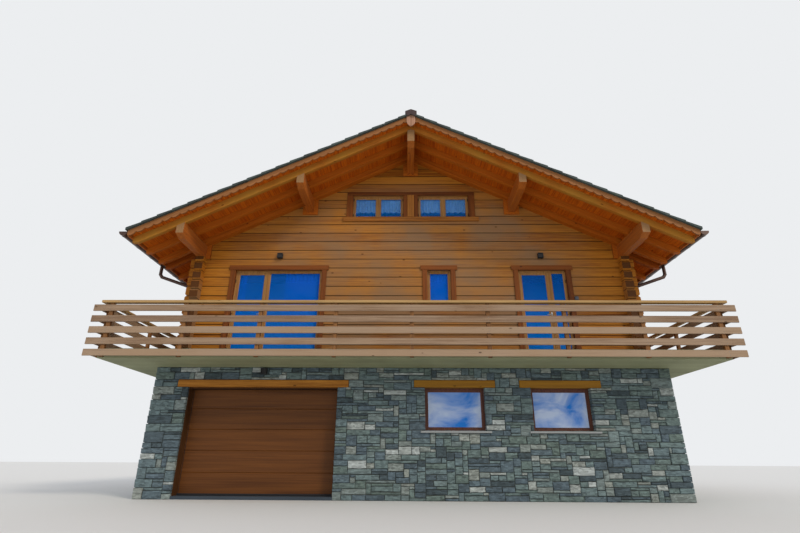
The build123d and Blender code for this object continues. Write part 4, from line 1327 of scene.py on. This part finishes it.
def garage_seals(rubber):
    """Rubber along the foot and both edges of the garage leaf."""
    low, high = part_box("garage_door")
    pieces = [bar((low.x, low.y - 0.012, low.z), (high.x, low.y + 0.004, low.z + 0.035), 0.003)]
    for x in (low.x + 0.04, high.x - 0.048):
        pieces.append(bar((x, low.y - 0.006, low.z), (x + 0.008, low.y + 0.002, high.z - 0.04),
                          0.001))
    return [coat(piece, rubber) for piece in pieces]


class CHALET_OT_glazing(Operator):
    """Glaze the doors and windows, and seal them and the garage door"""
    bl_idname = "chalet.glazing"
    bl_label = "Doors and windows"

    def execute(self, context):
        nodes = frame["nodes"]
        dice = Random(3)
        honey = timber("Varnished spruce window frames", linear("#b2834c"), linear("#825529"), "Z",
                       knots=0.1, roughness=0.42)
        dark = timber("Dark stained window frames", linear("#6b4436"), linear("#43261e"), "Z",
                      knots=0.1, roughness=0.42)
        rubber = plain_coat("Black sealing rubber", linear("#16161a"), 0.0, 0.7)
        for name in ("left_balcony_door", "right_balcony_door", "upper_window_frames",
                     "other_window_frames"):
            coat(nodes[name], honey)
        coat(nodes["ground_window_frames"], dark)
        coat(nodes["front_glass"], glazing("Float glass with painted sky of the front", linear("#007ee2"),
                                           linear("#d8e6fc"), 0.03, 1.0))
        coat(nodes["other_glass"], glazing("Float glass with painted sky of the other sides", linear("#24568c"),
                                           linear("#8fa9c8"), 0.2, 0.5))
        coat(nodes["garage_door"], coated_steel("Wood-look foil on steel", linear("#764619"),
                                                linear("#4c290a"), "X", 0.55))
        coat(nodes["garage_frame"], timber("Stained garage linings", linear("#523318"),
                                           linear("#341d0c"), "Z", knots=0.3))

        # Beads, seals and hinges of every pane, and a cover strip where two leaves meet
        bronze = plain_coat("Bronze-coated hinges", linear("#5b4634"), 0.8, 0.45)
        beads, seals, hinges = [], [], []
        for windows, setback, faces in ((LOG_WINDOWS, LOG_SETBACK, (LOG_Y, LOG_X)),
                                        (STONE_WINDOWS, STONE_SETBACK, (STONE_Y, STONE_X))):
            for side, openings in windows.items():
                distance = (faces[0] if side in GABLES else faces[1]) - setback
                wood = dark if windows is STONE_WINDOWS and side == "front" else honey
                for opening in openings:
                    middle = (opening.sill + opening.head) / 2
                    for start, end, border in opening.panes:
                        x = opening.left + (start + end) / 2
                        wide = end - start - 2 * border
                        tall = opening.head - opening.sill - 2 * border
                        bead = ring(wide + 0.012, tall + 0.012, 0.016, 0.008, 0.004)
                        bead = marked(set_in(bead, side, distance - 0.012, x, middle), "board",
                                      dice.uniform(1, 99))
                        beads.append(coat(bead, wood))
                        seal = ring(wide + 0.002, tall + 0.002, 0.009, 0.0, 0.003)
                        seals.append(coat(set_in(seal, side, distance - 0.0205, x, middle), rubber))
                        if len(opening.panes) > 1:
                            hinges += leaf_hinges(opening, tall, start == 0, side, distance, bronze)
                    for _, end, _ in opening.panes[:-1]:
                        x = opening.left + end
                        strip = bar((x - 0.017, -0.012, opening.sill + 0.035),
                                    (x + 0.017, 0, opening.head - 0.035), 0.004)
                        strip = marked(set_in(strip, side, distance), "board", dice.uniform(1, 99))
                        beads.append(coat(strip, wood))
        keep(joined(beads, "glazing_beads"), "frame_wood")
        keep(joined(hinges, "leaf_hinges"), "fixing_steel")
        keep(joined(seals + garage_seals(rubber), "weather_seals"), "seal_rubber")
        return {"FINISHED"}


class CHALET_OT_fittings(Operator):
    """Fit levers and thresholds to the balcony doors"""
    bl_idname = "chalet.fittings"
    bl_label = "Levers and thresholds"

    def execute(self, context):
        steel = plain_coat("Brushed steel fittings", linear("#b9bab8"), 1.0, 0.32)
        z = DECK_TOP + 1.1
        pieces = []
        for door in (LEFT_DOOR, RIGHT_DOOR):
            x = door.left + door.panes[0][1] - 0.045
            pieces += [bar((x - 0.015, -0.008, z - 0.15), (x + 0.015, 0, z + 0.07), 0.003),
                       round_bar(0.009, 0.05, "Y", (x, -0.03, z)),
                       bar((x - 0.125, -0.062, z - 0.01), (x + 0.011, -0.046, z + 0.01), 0.006)]
        for door in (LEFT_DOOR, RIGHT_DOOR):
            pieces.append(bar((door.left, -0.075, DECK_TOP), (door.right, 0, DECK_TOP + 0.022),
                              0.004))
        for piece in pieces:
            coat(set_in(piece, "front", LOG_Y - LOG_SETBACK), steel)
        keep(joined(pieces, "door_fittings"), "fixing_steel")
        return {"FINISHED"}


# A curtain: fold is the width of one fold, sway how far it comes forward and back, and scallops
# how many its hem is cut in, each a tenth of the drop deep
Hanging = namedtuple("Hanging", "left right head drop fold sway scallops fabric")


def curtain(name, hanging, back):
    """Gathered curtain behind the front, the width that it was cut to, and its flat area."""
    width, drop = hanging.right - hanging.left, hanging.drop
    across, down = max(12, 8 * round(width / hanging.fold)), 10
    points, flat, cut, area, last = [], [], 0.0, 0.0, drop
    for column in range(across + 1):
        share = column / across
        x = hanging.left + width * share
        y = back + hanging.sway * sin(2 * pi * (x - hanging.left) / hanging.fold)
        reach = drop
        if hanging.scallops:
            reach -= 0.1 * drop * (1 - abs(sin(pi * hanging.scallops * share)))
        if column:
            step = hypot(x - points[-1][0], y - points[-1][1])
            cut += step
            area += step * (reach + last) / 2
        last = reach
        for row in range(down + 1):
            points.append((x, y, hanging.head - reach * row / down))
            flat.append((cut, reach * row / down))
    rows = down + 1
    faces = [(a, a + 1, a + rows + 1, a + rows)
             for column in range(across) for a in range(column * rows, column * rows + down)]
    mesh = bpy.data.meshes.new(name)
    mesh.from_pydata(points, [], faces)
    layer = mesh.uv_layers.new(name="flat")
    for loop in mesh.loops:
        layer.data[loop.index].uv = flat[loop.vertex_index]
    for face in mesh.polygons:
        face.use_smooth = True
    piece = bpy.data.objects.new(name, mesh)
    bpy.context.collection.objects.link(piece)
    return piece, cut, area


class CHALET_OT_curtains(Operator):
    """Hang lace in the attic windows and voile behind the wide door"""
    bl_idname = "chalet.curtains"
    bl_label = "Curtains"

    def execute(self, context):
        lace = cloth("Cotton lace", linear("#f8fafd"), 0.95, 0.45)
        voile = cloth("Cotton voile", linear("#f6f8fc"), 0.85)
        lined = cloth("Close-woven cotton", linear("#f1f4f8"), 0.97)
        white = plain_coat("White-coated curtain rod", linear("#c9ccd0"), 0.2, 0.4)
        back, clear = -LOG_Y + 0.15, 0.03
        rods, hung = [], []
        for window in ATTIC_PAIR:
            for start, end, _ in window.panes:
                hung.append(Hanging(window.left + start + clear, window.left + end - clear,
                                    window.head - clear, 0.41, 0.075, 0.007, 4, lace))
        head = DOOR_HEAD - clear
        for start, end in ((0.12, 0.25), (1.22, 2.08)):
            hung.append(Hanging(LEFT_DOOR.left + start, LEFT_DOOR.left + end, head, 2.1, 0.095, 0.016,
                                0, voile))
        middle, half = MIDDLE_WINDOW.x, 0.25
        hung.append(Hanging(middle - half, middle + half, head, 0.75, 0.08, 0.010, 0, lined))
        for number, hanging in enumerate(hung, 1):
            kind = "lace_curtain" if hanging.scallops else "voile_curtain"
            piece, cut, area = curtain(f"{kind}_{number}", hanging, back)
            keep(coat(piece, hanging.fabric), "curtain_cloth")
            middle = ((hanging.left + hanging.right) / 2, back, hanging.head + 0.006)
            rod = round_bar(0.005, hanging.right - hanging.left + 0.04, "X", middle, sides=12,
                            dished=(0.002, 0.004))
            rods.append(coat(rod, white))
        keep(joined(rods, "curtain_rods"), "fixing_steel")
        return {"FINISHED"}


class CHALET_OT_lamps(Operator):
    """Hang the wall lamps and the socket box"""
    bl_idname = "chalet.lamps"
    bl_label = "Lamps"

    def execute(self, context):
        black = plain_coat("Black powder coat", linear("#1b1b1d"), 0.0, 0.5)
        pieces = []
        size, off = (0.13, 0.078, 0.125), 0.051
        above_doors = DOOR_HEAD + 0.37
        above_garage = GARAGE.head + LINTEL_HEIGHT + 0.12 + size[2] / 2
        for x, y, z in ((LEFT_DOOR.x, LOG_Y, above_doors), (RIGHT_DOOR.x, LOG_Y, above_doors),
                        (GARAGE.x, STONE_Y + 0.012, above_garage)):
            deselect()
            bpy.ops.mesh.primitive_cube_add(size=1, scale=size, location=(x, -y - off, z))
            body = settle()
            with editing():
                pick("FACE", lambda face: abs(face.normal.z) > 0.9)
                bpy.ops.mesh.inset(thickness=0.012, depth=0, use_individual=True)
                bpy.ops.mesh.inset(thickness=0.002, depth=-0.02, use_individual=True)
                bpy.ops.mesh.select_all(action="SELECT")
                bpy.ops.mesh.bevel(offset=0.0015, segments=1, affect="EDGES")
            plate = bar((x - 0.05, -y - 0.014, z - 0.05), (x + 0.05, -y, z + 0.05), 0.003)
            pieces += [coat(body, black), coat(plate, black)]
        keep(joined(pieces, "lamp_bodies"), "lamp_metal", "wall_lamps")

        grey = plain_coat("Grey moulded plastic", linear("#4a4f57"), 0.0, 0.5)
        x, z, half = RIGHT_DOOR.x + 0.745, 4.28, 0.045
        box = bar((x - half, -0.055, z), (x + half, 0, z + 0.11), 0.006)
        lid = bar((x - 0.038, -0.068, z + 0.02), (x + 0.038, -0.05, z + 0.105), 0.008)
        for piece in (box, lid):
            coat(set_in(piece, "front", LOG_Y), grey)
        keep(joined([box, lid], "socket_box"), "lamp_metal")
        return {"FINISHED"}


class CHALET_PT_panel(Panel):
    """Lists the steps of the build and their settings"""
    bl_idname = "CHALET_PT_panel"
    bl_label = "Alpine chalet"
    bl_space_type = "VIEW_3D"
    bl_region_type = "UI"
    bl_category = "Chalet"

    def draw(self, context):
        for group, steps in PANEL_ROWS:
            column = self.layout.column(align=True)
            for step in steps:
                column.operator(step)
            settings = getattr(context.scene, group)
            for name in settings.__annotations__:
                column.prop(settings, name)


PANEL_ROWS = (
    ("chalet_masonry", ("chalet.masonry",)),
    ("chalet_timber", ("chalet.stains", "chalet.surrounds", "chalet.railing")),
    ("chalet_roof", ("chalet.soffit", "chalet.tiles", "chalet.ridge", "chalet.gutters",
                     "chalet.glazing", "chalet.fittings", "chalet.curtains", "chalet.lamps")),
    ("chalet_stage", ("chalet.stage",)),
)
GROUPS = {"chalet_masonry": ChaletMasonry, "chalet_timber": ChaletTimber, "chalet_roof": ChaletRoof,
          "chalet_stage": ChaletStage}
CLASSES = (*GROUPS.values(), CHALET_OT_stage, CHALET_OT_masonry, CHALET_OT_stains,
           CHALET_OT_surrounds, CHALET_OT_railing, CHALET_OT_soffit, CHALET_OT_tiles, CHALET_OT_ridge,
           CHALET_OT_gutters, CHALET_OT_glazing, CHALET_OT_fittings, CHALET_OT_curtains,
           CHALET_OT_lamps, CHALET_PT_panel)


def register():
    """Register the classes and hang their settings on the scene."""
    for item in CLASSES:
        bpy.utils.register_class(item)
    for name, group in GROUPS.items():
        setattr(bpy.types.Scene, name, PointerProperty(type=group))


def unregister():
    """Take the settings and classes away again."""
    for name in GROUPS:
        delattr(bpy.types.Scene, name)
    for item in reversed(CLASSES):
        bpy.utils.unregister_class(item)


def main():
    """Dress the whole house."""
    register()
    bpy.ops.chalet.stage()
    bpy.ops.chalet.masonry()
    bpy.ops.chalet.stains()
    bpy.ops.chalet.surrounds()
    bpy.ops.chalet.railing()
    bpy.ops.chalet.soffit()
    bpy.ops.chalet.tiles()
    bpy.ops.chalet.ridge()
    bpy.ops.chalet.gutters()
    bpy.ops.chalet.glazing()
    bpy.ops.chalet.fittings()
    bpy.ops.chalet.curtains()
    bpy.ops.chalet.lamps()


if __name__ == "__main__":
    main()
